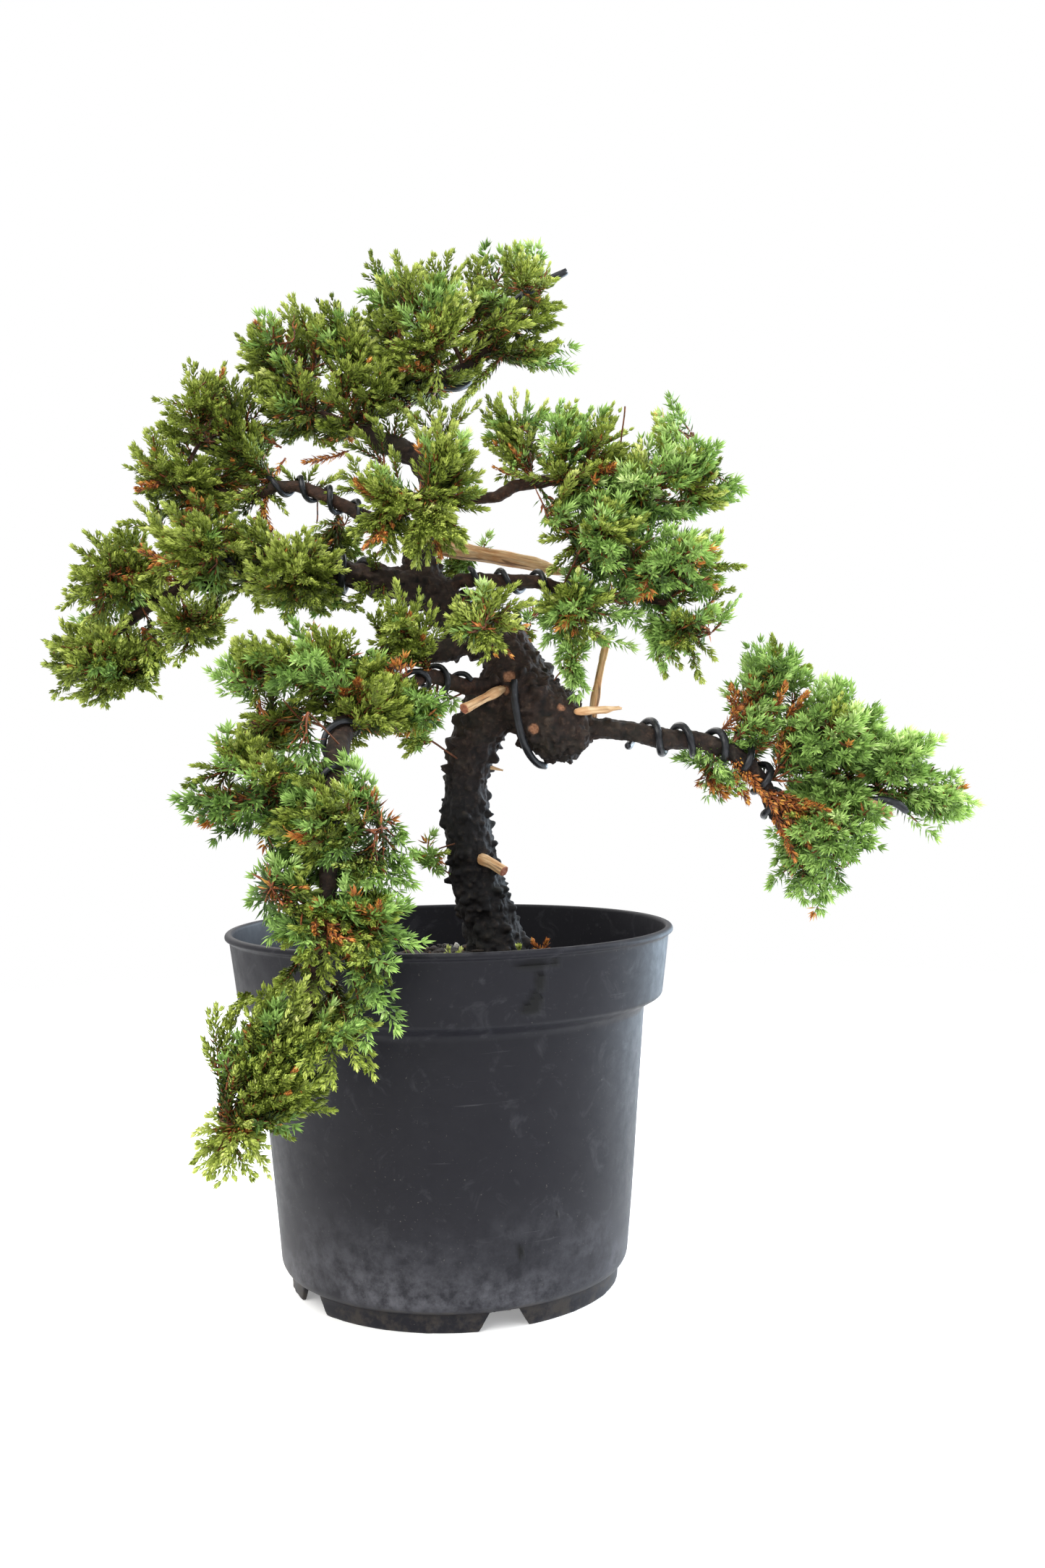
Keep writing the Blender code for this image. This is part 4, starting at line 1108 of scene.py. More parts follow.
def side_shoots(main, rng, gap_mm, reach):
    """Shorter shoots to the left and right of longer ones, in one spray."""
    index, t, number = main.stations(gap_mm)
    chosen = (t > 0.25) & (t < 0.92) & (rng.uniform(size=len(t)) < 0.86)
    index, t, number = index[chosen], t[chosen], number[chosen]
    axis = main.heading(index, t)
    normal = unit(np.cross(unit(main.tip - main.start), UP + 1e-3))
    flat = unit(normal + 0.5 * noise(main.start / MM, 5.0, 91)[:, None] * UP)[index]
    flat = unit(flat - axis * (flat * axis).sum(1)[:, None])
    side = np.where(number % 2, 1.0, -1.0)[:, None]
    lean = np.radians(np.where(main.cord[index], 24, 38) + rng.normal(0, 8, len(t)))[:, None]
    way = axis * np.cos(lean) + flat * side * np.sin(lean)
    way = unit(way + rng.normal(0, 0.16, way.shape) + 0.12 * UP)
    length = reach * (1.2 - 0.8 * t) * rng.uniform(0.6, 1.25, len(t))
    length = length * np.clip(main.length[index] / 20, 0.5, 1.15)
    start = main.place(index, t)
    bend = start + way * (length * 0.5 * MM)[:, None]
    tip = bend + unit(way + axis * 0.6 + 0.15 * UP) * (length * 0.5 * MM)[:, None]
    dead = main.dead[index] | (rng.uniform(size=len(t)) < 0.012 + 0.04 * (1 - t) ** 2)
    return Shoots(
        start=start, bend=bend, tip=tip, light=main.light[index] + rng.normal(-0.03, 0.07, len(t)),
        green=main.green[index], cord=main.cord[index], dead=dead,
        fresh=main.fresh[index] * rng.uniform(0.4, 1.15, len(t)))


# Needles of olive, blue-green and cord-like shoots: gap between whorls, opening and how much
# it grows away from the tip, length and its growth, half width
STYLES = [(1.25, 21, 19, 2.5, 0.9, 0.58), (2.1, 37, 24, 4.1, 1.3, 0.60), (1.2, 13, 7, 2.2, 0.2, 0.52)]


def needle_tone(light, green):
    """Place of a needle on the scale of tones."""
    return np.clip(light, 0, 1) * TONE_SPAN + np.where(green, TONE_FRESH, 0.0)


def clothe(shoots, rng, inner):
    """Dress shoots of every style, and give them their thin stems."""
    parts = []
    style = np.where(shoots.cord, 2, shoots.green)
    for number in range(len(STYLES)):
        if (style == number).any():
            parts += clothe_style(shoots.some(style == number), rng, inner, *STYLES[number])
    index, t, _ = shoots.stations(3.2)
    chosen = (t < 0.62) & (shoots.length[index] > 10)
    index, t = index[chosen], t[chosen]
    half = 1.7 / shoots.length[index]
    start = shoots.place(index, np.clip(t - half, 0, 1))
    stop = shoots.place(index, np.clip(t + half, 0, 1))
    thick = (0.46 - 0.24 * t) * MM
    tone = np.clip(TONE_TWIG - 0.02 + rng.normal(0, 0.012, len(t)), 0, 1)
    parts.append(twig_arrays(start, stop, thick * 1.1, thick, tone, rng))
    return parts


def clothe_style(shoots, rng, inner, whorl_gap, closed, opens, short, grows, half_width):
    """Whorls of needles: open and green, darkened away from the tip as painted shade, browner and
    sparser inside, and a tuft at the tip.
    """
    parts = []
    index, t, number = shoots.stations(whorl_gap)
    to_tip = (1 - t) * shoots.length[index]
    from_start = t * shoots.length[index]
    axis = shoots.heading(index, t)
    place = shoots.place(index, t)
    across, other = side_axes(axis)
    dead, green = shoots.dead[index], shoots.green[index]
    whorl_turn = number * 1.05 + shoots.light[index] * 40
    for side in range(3):
        keep = rng.uniform(size=len(t)) < np.where(from_start < inner * 0.5, 0.55, 0.97)
        chosen = np.flatnonzero(keep)
        turn = whorl_turn[chosen] + side * 2 * math.pi / 3 + rng.normal(0, 0.20, len(chosen))
        gap = to_tip[chosen]
        opening = closed + opens * smooth_step(0, 6, gap) + rng.normal(0, 6, len(chosen))
        opening = np.radians(opening)[:, None]
        out = across[chosen] * np.cos(turn)[:, None] + other[chosen] * np.sin(turn)[:, None]
        way = axis[chosen] * np.cos(opening) + out * np.sin(opening)
        back = out * np.cos(opening) - axis[chosen] * np.sin(opening)
        length = (short + grows * smooth_step(0, 6, gap)) * rng.uniform(0.8, 1.2, len(chosen))
        width = half_width * rng.uniform(0.85, 1.15, len(chosen))
        light = shoots.light[index][chosen] + rng.normal(0, 0.06, len(chosen))
        light += 0.40 * shoots.fresh[index][chosen] * np.exp(-gap / 3.4)
        # Painted shade: needles 5 to 18 mm back from the tip, deep in the mass, are made darker.
        light -= 0.36 * smooth_step(5, 18, gap)
        colour = needle_tone(light, green[chosen])
        old = rng.uniform(TONE_DEAD - 0.03, TONE_TWIG + 0.01, len(chosen))
        near_wood = 1 - smooth_step(inner * 0.3, inner, from_start[chosen])
        stale = rng.uniform(size=len(chosen)) < 0.26 * near_wood
        stale &= gap > 7
        colour = np.where(dead[chosen] | stale, old, colour)
        base = place[chosen] + out * (0.25 * MM)
        parts.append(needle_arrays(base, way, back, length * MM, width * MM, colour))

    spots = shoots.tip
    axis = unit(shoots.tip - shoots.bend)
    across, other = side_axes(axis)
    for side in range(6):
        turn = side * 2.4 + rng.uniform(0, 0.5, len(spots))
        lean = np.radians((7, 14, 20, 25, 29, 34)[side] + rng.normal(0, 5, len(spots)))[:, None]
        lean = lean * closed / 25
        out = across * np.cos(turn)[:, None] + other * np.sin(turn)[:, None]
        way = axis * np.cos(lean) + out * np.sin(lean)
        back = out * np.cos(lean) - axis * np.sin(lean)
        length = short * (1.1 - side * 0.03) * rng.uniform(0.8, 1.2, len(spots))
        width = half_width * rng.uniform(0.85, 1.05, len(spots))
        light = shoots.light + 0.36 * shoots.fresh + rng.normal(0, 0.05, len(spots))
        colour = needle_tone(light, shoots.green)
        colour = np.where(shoots.dead, TONE_DEAD + rng.normal(0, 0.02, len(spots)), colour)
        base = spots + out * 0.2 * MM - axis * (0.5 + 0.1 * side) * MM
        parts.append(needle_arrays(base, way, back, length * MM, width * MM, colour))
    return parts


def foliage_mesh(name, parts):
    """One mesh of needles and twigs, with its tone and its place along each needle."""
    points, faces, along, tone, start = [], [], [], [], 0
    for part_points, part_faces, part_along, part_tone in parts:
        points.append(part_points)
        faces.append(part_faces + start)
        along.append(part_along)
        tone.append(part_tone)
        start += len(part_points)
    points, faces = np.concatenate(points), np.concatenate(faces)
    along, tone = np.concatenate(along), np.concatenate(tone)
    mesh = make_mesh(name, points, faces)
    set_value(mesh, "along", along)
    set_value(mesh, "tone", tone)
    layer = mesh.uv_layers.new(name="OFBake")
    corner = faces.ravel()
    nudge = np.tile([0.0, 0.004, -0.004], len(faces))
    flat = np.stack([0.02 + 0.96 * along[corner], 0.01 + 0.98 * tone[corner] + nudge], 1)
    layer.data.foreach_set("uv", flat.astype(np.float32).ravel())
    return mesh


def inside_depth(tree, spots):
    """How deep each spot lies under a closed skin, in millimetres."""
    depth = np.empty(len(spots))
    for index, spot in enumerate(spots):
        place, normal, _, gap = tree.find_nearest(Vector(spot))
        inside = (Vector(spot) - place).dot(normal) < 0
        depth[index] = gap / MM if inside else -gap / MM
    return depth


def pad_targets(tree, low, high, spacing, least_depth, rng):
    """Points through a closed mass that its inner twigs should reach."""
    counts = np.maximum(((high - low) / spacing).astype(int) + 1, 1)
    grid = np.stack(np.meshgrid(*[np.arange(n) for n in counts], indexing="ij"), -1).reshape(-1, 3)
    spots = low + (grid + rng.uniform(0, 1, grid.shape)) * spacing
    depth = inside_depth(tree, spots)
    kept = depth > least_depth
    return spots[kept] if kept.any() else spots[[depth.argmax()]]


def skin_samples(points, faces, spacing, rng):
    """Scattered points on a skin with their outward directions."""
    a, b, c = points[faces[:, 0]], points[faces[:, 1]], points[faces[:, 2]]
    square = np.cross(b - a, c - a)
    area = np.linalg.norm(square, axis=1)
    count = int(area.sum() / 2 / spacing ** 2 * 5) + 4
    chosen = rng.choice(len(faces), count, p=area / area.sum())
    u, v = rng.uniform(size=(2, count))
    flip = u + v > 1
    u, v = np.where(flip, 1 - u, u)[:, None], np.where(flip, 1 - v, v)[:, None]
    spots = a[chosen] + (b - a)[chosen] * u + (c - a)[chosen] * v
    _, first = np.unique(np.floor(spots / spacing).astype(int), axis=0, return_index=True)
    return spots[first], unit(square)[chosen][first]


def wood_starts(points, spacing, rng):
    """Places on the wood that twigs may start from."""
    starts = []
    for point in points[rng.permutation(len(points))]:
        if all(np.linalg.norm(point - other) > spacing for other in starts):
            starts.append(point)
    return np.array(starts)


STEM_POINTS = node_arrays(*STEMS[1:])[0]
TRUNK_POINTS = node_arrays("trunk")[0]
ALL_WOOD = np.concatenate([STEM_POINTS, TRUNK_POINTS])
WOOD_TREE = BVHTree.FromPolygons(*[rows.tolist() for rows in node_arrays(*STEMS)])

# Lightness of each mass, freshness of its tips, share of blue-green and of cord-like shoots,
# and the way it grows
SHADES = {
    "foliage_apex": (0.42, 0.8, 0.22, 0.05, (0.1, 0, 0.9)),
    "foliage_crown_left": (0.40, 0.8, 0.22, 0.0, (-0.2, 0, 0.9)),
    "foliage_upper_left": (0.37, 0.7, 0.18, 0.0, (-0.35, 0, 0.8)),
    "foliage_left_arm": (0.43, 0.7, 0.10, 0.0, (-0.45, -0.2, 0.45)),
    "foliage_left_tip": (0.43, 0.7, 0.18, 0.0, (-0.6, 0, 0.2)),
    "foliage_left_inner": (0.36, 0.5, 0.1, 0.0, (-0.2, 0, 0.6)),
    "foliage_centre_high": (0.44, 0.7, 0.15, 0.0, (0, -0.3, 0.8)),
    "foliage_centre_right": (0.48, 0.8, 0.1, 0.0, (0.3, -0.5, 0.3)),
    "foliage_centre_left": (0.46, 0.7, 0.1, 0.0, (-0.2, -0.5, 0.6)),
    "foliage_lower_left": (0.45, 0.7, 0.35, 0.0, (-0.4, -0.3, 0.3)),
    "foliage_cascade_upper": (0.38, 0.7, 0.50, 0.0, (-0.35, -0.3, 0.1)),
    "foliage_cascade_middle": (0.38, 0.7, 0.60, 0.0, (0.1, -0.3, -0.3)),
    "foliage_cascade_lower": (0.43, 0.7, 0.35, 0.0, (-0.1, -0.3, -0.3)),
    "foliage_cascade_tip": (0.54, 0.9, 0.05, 0.0, (-0.4, 0, -0.6)),
    "foliage_right_upper": (0.48, 0.7, 0.40, 0.5, (0.1, 0, 0.9)),
    "foliage_right_crown": (0.48, 0.9, 0.6, 0.25, (0.35, 0, 0.8)),
    "foliage_right_middle": (0.43, 0.8, 0.5, 0.12, (0.4, -0.2, 0.2)),
    "foliage_right_back": (0.44, 0.8, 0.85, 0.0, (0.25, 0, 0.8)),
    "foliage_right_low": (0.44, 0.7, 0.95, 0.0, (0.2, -0.2, -0.6)),
    "foliage_right_tip": (0.48, 0.7, 0.95, 0.0, (0.8, 0, 0.1)),
}
PLAIN_SHADE = (0.44, 0.7, 0.5, 0.0, (0, 0, 0.4))

# Places that shoots keep clear of: middle in millimetres from the pot's foot, and half size
CLEARINGS = [
    ((36, -30, 326), (24, 60, 10)), ((36, -30, 345), (14, 60, 10)), ((26, -40, 312), (26, 50, 6)),
    ((62, -10, 448), (13, 60, 12)), ((66, 0, 424), (13, 60, 14)), ((45, 0, 401), (26, 60, 9)),
    ((74, 0, 392), (10, 60, 8)), ((118, 0, 386), (15, 60, 18)), ((136, 0, 372), (12, 60, 18)),
    ((122, 0, 262), (13, 60, 26)), ((107, 10, 214), (16, 60, 12)), ((138, -10, 298), (10, 60, 9)),
    ((146, 0, 192), (9, 60, 18)), ((192, 6, 172), (14, 60, 12)), ((204, 6, 184), (14, 60, 14)),
    ((232, 0, 238), (14, 60, 16)), ((214, 0, 248), (16, 60, 9)), ((196, 0, 260), (14, 60, 10)),
    ((-20, -112, 216), (16, 60, 26)), ((-82, -110, 184), (16, 60, 16)),
    ((-102, -65, 242), (16, 60, 18)), ((-104, -50, 272), (12, 60, 12)),
    ((-96, -118, 119), (24, 50, 20)), ((-112, -118, 88), (14, 50, 10)),
    ((-30, -118, 112), (14, 60, 22)), ((-170, 0, 332), (16, 60, 14)),
    ((-127, 0, 402), (14, 60, 12)),
]


# Growth of a large mass and of a single sprig, in millimetres: gap between shoots, how far
# their tips stand out of the skin, length, and length of side shoots
PAD_GROWTH = (7.4, (-11.0, -2.0), 18.0, 10.5)
SPRIG_GROWTH = (4.5, (-3.0, 0.5), 9.0, 5.0)
SMALL_MASS = 16.0
TWIG_STEP = 3.0
TWIG_REACH = 4.2
SIDE_GAP = 3.1
NO_DEAD_ABOVE = 420.0


def inner_twigs(tree, low, high, rng):
    """Bare twigs that reach from the nearest wood through a closed mass."""
    small = (high - low).min() / MM < SMALL_MASS
    targets = pad_targets(tree, low, high, (4 if small else 8) * MM, 1.0 if small else 8.0, rng)
    near = np.all((ALL_WOOD > low - 4 * MM) & (ALL_WOOD < high + 4 * MM), axis=1)
    wood = ALL_WOOD[near]
    if not len(wood):
        gaps = np.linalg.norm(ALL_WOOD - targets.mean(0), axis=1)
        wood = ALL_WOOD[[gaps.argmin()]]
    starts = wood_starts(wood, 8 * MM, rng)
    places, parents = grow_twigs(starts, targets, rng, TWIG_STEP * MM, TWIG_REACH * MM, 0.10)
    return Twigs(relaxed(places, parents), parents)


def shoot_tips(name, points, faces, growth, spacing, proud, rng):
    """Ends of the shoots of a mass, with their root on its skin, its direction and their own."""
    skin, normals = skin_samples(points, faces, spacing * MM, rng)
    mm = (skin - POT_AXIS) / MM
    clear = np.array([WOOD_TREE.find_nearest(Vector(spot))[3] for spot in skin]) / MM
    bare = 3.2
    if "cascade" in name or "right_low" in name:
        bare = 1.5
    if "cascade" in name:
        proud = (proud[0] + 2, proud[1] + 1)
    kept = (clear > bare) & (noise(mm, 13, 83) > -0.42)
    kept &= (normals[:, 2] > -0.55) | (rng.uniform(size=len(skin)) < 0.55)
    skin, normals, mm = skin[kept], normals[kept], mm[kept]
    push = rng.uniform(*proud, len(skin)) + np.minimum(rng.exponential(3.0, len(skin)), 10)
    push += 2.0 * noise(mm, 18, 84) + 3.0 * noise(mm, 9, 86)
    way = unit(0.75 * normals + growth + rng.normal(0, 0.15, normals.shape))
    kept = np.ones(len(skin), bool)
    for middle, half in CLEARINGS:
        kept &= ~np.all(np.abs(mm + way * push[:, None] - middle) < half, axis=1)
    tips = skin + way * (push * MM)[:, None]
    return tips[kept], normals[kept], mm[kept], way[kept]


def build_pad(name, seed, spacing, proud, reach, side_reach):
    """A foliage mass: inner twigs, and leafy shoots that fan out through its skin."""
    rng = np.random.default_rng(seed)
    points, faces = node_arrays(name)
    tree = BVHTree.FromPolygons(points.tolist(), faces.tolist())
    twigs = inner_twigs(tree, points.min(0), points.max(0), rng)
    light, fresh, green, cord, growth = SHADES.get(name, PLAIN_SHADE)
    tips, normals, mm, way = shoot_tips(name, points, faces, growth, spacing, proud, rng)
    count = len(tips)

    # Each shoot leaves the twig that is about one reach away and lies along its way.
    gap = tips[:, None] - twigs.places[None]
    span = np.linalg.norm(gap, axis=2) / MM
    straight = (gap * way[:, None]).sum(2) / np.maximum(span, 1e-6) / MM
    root = (np.abs(span - reach) + 18 * (1 - straight)).argmin(1)
    start = twigs.places[root]
    toward = unit(tips - start)
    length = np.linalg.norm(tips - start, axis=1)[:, None]
    before = np.where(twigs.parents[root] >= 0, twigs.parents[root], root)
    along = unit(start - twigs.places[before])
    bend = start + unit(toward + 0.4 * along - 0.3 * way) * length * 0.5
    dying = 0.008 + 0.03 * (normals[:, 2] < -0.3)
    main = Shoots(
        start=start, bend=bend, tip=tips,
        # Shoots on the upward-facing skin are lighter: partly new growth, partly painted light from
        # above.
        light=light + 0.15 * noise(mm, 16, 82) + 0.09 * normals[:, 2] + rng.normal(0, 0.06, count),
        cord=rng.uniform(size=count) < cord,
        green=noise(mm, 22, 85) * 0.35 + rng.normal(0.5, 0.16, count) < green,
        dead=rng.uniform(size=count) < dying * (mm[:, 2] < NO_DEAD_ABOVE),
        fresh=fresh * rng.uniform(0.4, 1.3, count))
    sides = side_shoots(main, rng, SIDE_GAP, side_reach)
    parts = [woody_arrays(twigs, rng)] + clothe(Shoots.joined([main, sides]), rng, 9.0)
    mesh = foliage_mesh(name, parts)
    add_piece("needles_of_" + name.replace("foliage_", ""), mesh, NEEDLE, "needles", name)


# Loose shoots: start, bow, tips that fan from it, lightness, side reach, and kind
LOOSE = [
    ((-84, 2, 362), (0, 0, 2), [(-72, -6, 352), (-70, -4, 342), (-82, -8, 346)], 0.40, 8, "olive"),
    ((-88, 4, 380), (0, 0, 2), [(-76, -2, 392), (-70, -2, 382), (-80, -8, 398)], 0.40, 8, "olive"),
    ((-30, -6, 312), (0, 0, 0), [(-38, -22, 306), (-42, -20, 298), (-30, -24, 320)], 0.42, 7,
     "olive"),
    ((-22, 0, 372), (0, 0, 2), [(-12, -8, 384), (-18, -8, 388), (-26, -6, 384)], 0.42, 7, "olive"),
    ((-135, 0, 292), (0, 0, -2), [(-124, -8, 278), (-130, -6, 272), (-118, -6, 286)], 0.42, 8,
     "olive"),
    ((-150, 6, 276), (0, 0, -1), [(-153, 0, 258), (-162, 2, 260), (-144, 0, 262)], 0.42, 8,
     "olive"),
    ((-20, -26, 258), (0, 0, -1), [(-8, -36, 246), (-14, -38, 242), (-4, -36, 254)], 0.46, 7,
     "olive"),
    ((-28, -92, 196), (0, 0, -1), [(-16, -100, 184), (-22, -104, 180), (-18, -98, 192)], 0.38, 8,
     "green"),
    ((58, -14, 330), (0, 0, 0), [(46, -20, 334), (44, -18, 326), (50, -22, 342)], 0.42, 7, "olive"),
    ((60, -16, 288), (0, 0, 0), [(50, -20, 277), (46, -22, 284)], 0.44, 7, "green"),
    ((-84, -88, 228), (0, 0, 0), [(-99, -98, 222), (-97, -94, 230), (-95, -98, 214)], 0.40, 8,
     "olive"),
    ((-48, -104, 170), (0, 0, 0), [(-40, -130, 162), (-52, -132, 158), (-60, -128, 164),
     (-46, -134, 152), (-34, -126, 154)], 0.38, 9, "olive"),
    ((-54, -106, 160), (0, 0, 0), [(-48, -136, 146), (-62, -132, 148), (-70, -128, 142)], 0.42, 8,
     "olive"),
    ((-150, 2, 322), (0, 0, 1), [(-160, -4, 318), (-164, -2, 328), (-158, -4, 334)], 0.44, 8,
     "olive"),
    ((28, -6, 411), (0, 0, -2), [(8, -10, 386), (14, -14, 392)], 0.55, 6, "fern"),
    ((24, -4, 414), (4, 0, -2), [(44, -8, 408), (59, -6, 405), (60, -4, 415)], 0.50, 7, "green"),
    ((-3, -22, 352), (0, 0, 3), [(-1, -26, 380), (6, -28, 375), (13, -28, 361), (15, -26, 351),
     (-14, -26, 379), (-9, -32, 370)], 0.52, 8, "olive"),
    ((-18, -22, 345), (0, 0, 3), [(-22, -28, 365), (-30, -26, 358), (-36, -24, 350)], 0.46, 8,
     "olive"),
    ((32, -12, 357), (0, 0, 2), [(20, -16, 384), (25, -18, 390), (32, -16, 393), (38, -15, 391),
     (46, -16, 388)], 0.62, 8, "cord"),
    ((46, -12, 359), (0, 0, 2), [(52, -16, 388), (59, -14, 386), (66, -16, 384), (72, -14, 378),
     (78, -12, 374), (60, -22, 376)], 0.42, 8, "green cord"),
    ((-42, 0, 370), (0, 0, -1), [(-61, -6, 364)], 0.50, 4, "dead"),
    ((-70, 0, 367), (-3, 0, 0), [(-80, -4, 342)], 0.50, 4, "dead"),
    ((-79, -3, 348), (-2, 0, 0), [(-74, -5, 331), (-84, -5, 333)], 0.50, 4, "dead"),
    ((-72, 2, 372), (-3, 0, 1), [(-88, -2, 382)], 0.50, 2, "dead"),
    ((-62, -2, 350), (0, 0, 2), [(-70, -8, 360), (-56, -8, 361), (-46, -8, 358)], 0.44, 6, "olive"),
    ((-44, -4, 336), (0, 0, 3), [(-52, -10, 345), (-38, -10, 343), (-58, -8, 333)], 0.40, 6,
     "olive"),
    ((17, 8, 322), (0, 0, 1), [(20, 2, 332)], 0.55, 5, "green"),
    ((8, -30, 300), (0, 0, 1), [(18, -44, 303), (27, -42, 302), (6, -44, 282), (18, -44, 280)],
     0.50, 7, "olive"),
    ((56, -14, 294), (0, 0, -2), [(58, -18, 258)], 0.52, 8, "green fern"),
    ((54, -14, 290), (0, 0, 0), [(70, -18, 281), (82, -18, 279)], 0.50, 7, "green fern"),
    ((92, -14, 288), (0, 0, 0), [(96, -18, 266), (103, -18, 270)], 0.48, 6, "fern"),
    ((108, -14, 284), (0, 0, 0), [(112, -18, 264), (118, -18, 274)], 0.46, 6, "fern"),
    ((196, 2, 213), (0, 0, 1), [(242, -2, 207), (226, -2, 206)], 0.58, 8, "green"),
    ((204, 2, 211), (0, 0, 1), [(222, -4, 192), (213, -4, 207)], 0.54, 6, "green"),
    ((196, 2, 216), (0, 0, 1), [(226, -2, 238), (212, -4, 226)], 0.60, 7, "green"),
    ((124, -4, 243), (3, 0, 3), [(147, -8, 254), (142, -12, 241), (131, -10, 252)], 0.50, 6,
     "dead"),
    ((148, -4, 226), (2, 0, 3), [(157, -12, 247), (150, -10, 240)], 0.50, 5, "dead"),
    ((146, -6, 212), (2, 0, -2), [(165, -14, 199), (160, -16, 208)], 0.50, 5, "dead"),
    ((-37, -68, 252), (0, 0, 2), [(-40, -88, 258), (-34, -90, 262), (-30, -84, 254)], 0.50, 4,
     "dead"),
    ((-9, -6, 188), (0, 0, 0), [(-1, -12, 190)], 0.50, 3, "olive"),
    ((-124, 0, 334), (0, 0, 1), [(-135, -5, 346), (-143, -4, 338), (-129, -6, 352)], 0.42, 8,
     "olive"),
    ((-84, -4, 316), (0, 0, 0), [(-94, -10, 303), (-82, -12, 298), (-104, -8, 305),
     (-72, -12, 300)], 0.42, 8, "olive"),
    ((-60, -6, 310), (0, 0, 0), [(-67, -14, 295), (-58, -14, 296), (-50, -16, 300)], 0.42, 8,
     "olive"),
    ((-28, -8, 314), (0, 0, 0), [(-37, -18, 301), (-28, -20, 299)], 0.42, 7, "olive"),
    ((-112, 0, 290), (0, 0, -1), [(-119, -8, 275), (-112, -8, 280), (-126, -6, 280)], 0.42, 8,
     "olive"),
    ((-34, -6, 352), (0, 0, 2), [(-46, -12, 356), (-40, -12, 364), (-50, -10, 348)], 0.42, 8,
     "olive"),
    ((-26, -6, 362), (0, 0, 2), [(-38, -12, 376), (-30, -14, 380), (-42, -10, 370)], 0.42, 8,
     "olive"),
    ((0, -8, 372), (0, 0, 2), [(-9, -14, 389), (-1, -16, 387), (8, -14, 388), (15, -14, 386),
     (-16, -12, 384)], 0.44, 9, "olive"),
    ((2, 0, 438), (0, 0, 1), [(-3, -4, 456), (5, -4, 457), (-10, -2, 452)], 0.46, 8, "olive"),
    ((24, 0, 442), (0, 0, 1), [(20, -4, 459), (28, -4, 457), (34, -2, 454)], 0.48, 8, "green"),
    ((42, 0, 448), (0, 0, 1), [(35, -3, 458), (41, -3, 461), (46, -2, 455)], 0.50, 8, "green"),
    ((64, -10, 330), (0, 0, 0), [(50, -16, 318), (46, -16, 312), (49, -18, 336), (44, -16, 329)],
     0.44, 8, "olive"),
    ((60, -12, 294), (0, 0, 0), [(45, -18, 290), (43, -18, 281), (50, -20, 272)], 0.46, 8, "green"),
    ((84, -8, 308), (0, 0, 0), [(92, -14, 293), (84, -16, 289), (74, -16, 286), (98, -12, 296)],
     0.44, 8, "green"),
    ((-30, -90, 210), (0, 0, 0), [(-18, -98, 203), (-14, -100, 196), (-16, -98, 188)], 0.38, 8,
     "green"),
    ((-4, -14, 266), (0, 0, 0), [(3, -22, 254), (-4, -24, 251), (-12, -24, 254)], 0.46, 6, "green"),
    ((164, 0, 182), (0, 0, 0), [(167, -4, 160), (160, -4, 165), (172, -4, 166)], 0.44, 8, "green"),
    ((118, -2, 240), (0, 0, -2), [(112, -8, 233), (122, -10, 224), (130, -10, 216)], 0.46, 7,
     "green"),
    ((128, -2, 236), (0, 0, -2), [(140, -10, 214), (134, -10, 210), (146, -12, 206)], 0.50, 6,
     "dead"),
    ((132, -2, 238), (2, 0, 4), [(128, -8, 262), (136, -10, 266), (142, -10, 262)], 0.50, 6,
     "dead"),
    ((140, -2, 232), (2, 0, 4), [(160, -14, 258), (166, -14, 250), (150, -16, 262)], 0.50, 6,
     "dead"),
    ((144, -2, 216), (2, 0, -2), [(160, -16, 190), (168, -18, 194), (154, -14, 184)], 0.50, 6,
     "dead"),
    ((148, -4, 214), (2, 0, 0), [(168, -20, 206), (172, -20, 198)], 0.50, 6, "dead"),
    ((40, -4, 144), (0, 0, 0), [(37, -6, 149), (43, -6, 149)], 0.50, 2, "dead"),
    ((31, -12, 144), (0, 0, 0), [(30, -14, 148)], 0.62, 1, "olive"),
    ((0, -22, 144), (0, 0, 0), [(-1, -24, 149), (4, -24, 148)], 0.66, 1, "olive"),
    ((-76, -108, 144), (0, 0, 0), [(-80, -120, 139), (-75, -122, 143), (-82, -118, 134)], 0.44, 6,
     "olive"),
    ((-40, -104, 168), (0, 0, 0), [(-22, -134, 156), (-26, -138, 144), (-20, -136, 134),
     (-30, -140, 130)], 0.38, 9, "green"),
    ((-44, -112, 150), (0, 0, 0), [(-34, -140, 122), (-42, -142, 116), (-28, -138, 118),
     (-52, -140, 120)], 0.42, 9, "olive"),
    ((-36, -100, 182), (0, 0, 0), [(-28, -130, 172), (-38, -134, 170), (-50, -132, 176),
     (-24, -126, 180)], 0.40, 9, "olive"),
]


def build_loose():
    """Single sprays that hang, bow or have died between the main masses."""
    rng = np.random.default_rng(77)
    sprays = []
    for root, bow, tips, light, reach, kind in LOOSE:
        count = len(tips)
        start = np.tile(at(*root), (count, 1))
        tip = np.array([at(*place) for place in tips])
        bend = (start + tip) / 2 + np.array(bow) * MM + rng.normal(0, 1.2 * MM, (count, 3))
        main = Shoots(
            start=start, bend=bend, tip=tip, light=np.full(count, light) + rng.normal(0, 0.04, count),
            green=np.full(count, "green" in kind), cord=np.full(count, "cord" in kind),
            dead=np.full(count, kind == "dead"), fresh=rng.uniform(0.6, 1.1, count))
        sprays += [main, side_shoots(main, rng, 2.6 if "fern" in kind else 3.4, reach)]
    mesh = foliage_mesh("loose", clothe(Shoots.joined(sprays), rng, 4.0))
    add_piece("loose_shoots", mesh, NEEDLE, "needles")


# What shows through the needles at the right: name, path, thickness at each end, and looks
RODS = [
    ("right_wire_end", [(184, -6, 207), (197, -12, 214), (206, -12, 204)], 1.75, 1.75,
     WIRE, "black_wire"),
    ("right_cut_twig", [(186, -4, 210), (192, -12, 209), (198, -13, 202)], 2.4, 2.0,
     WOOD, "bleached_wood"),
]


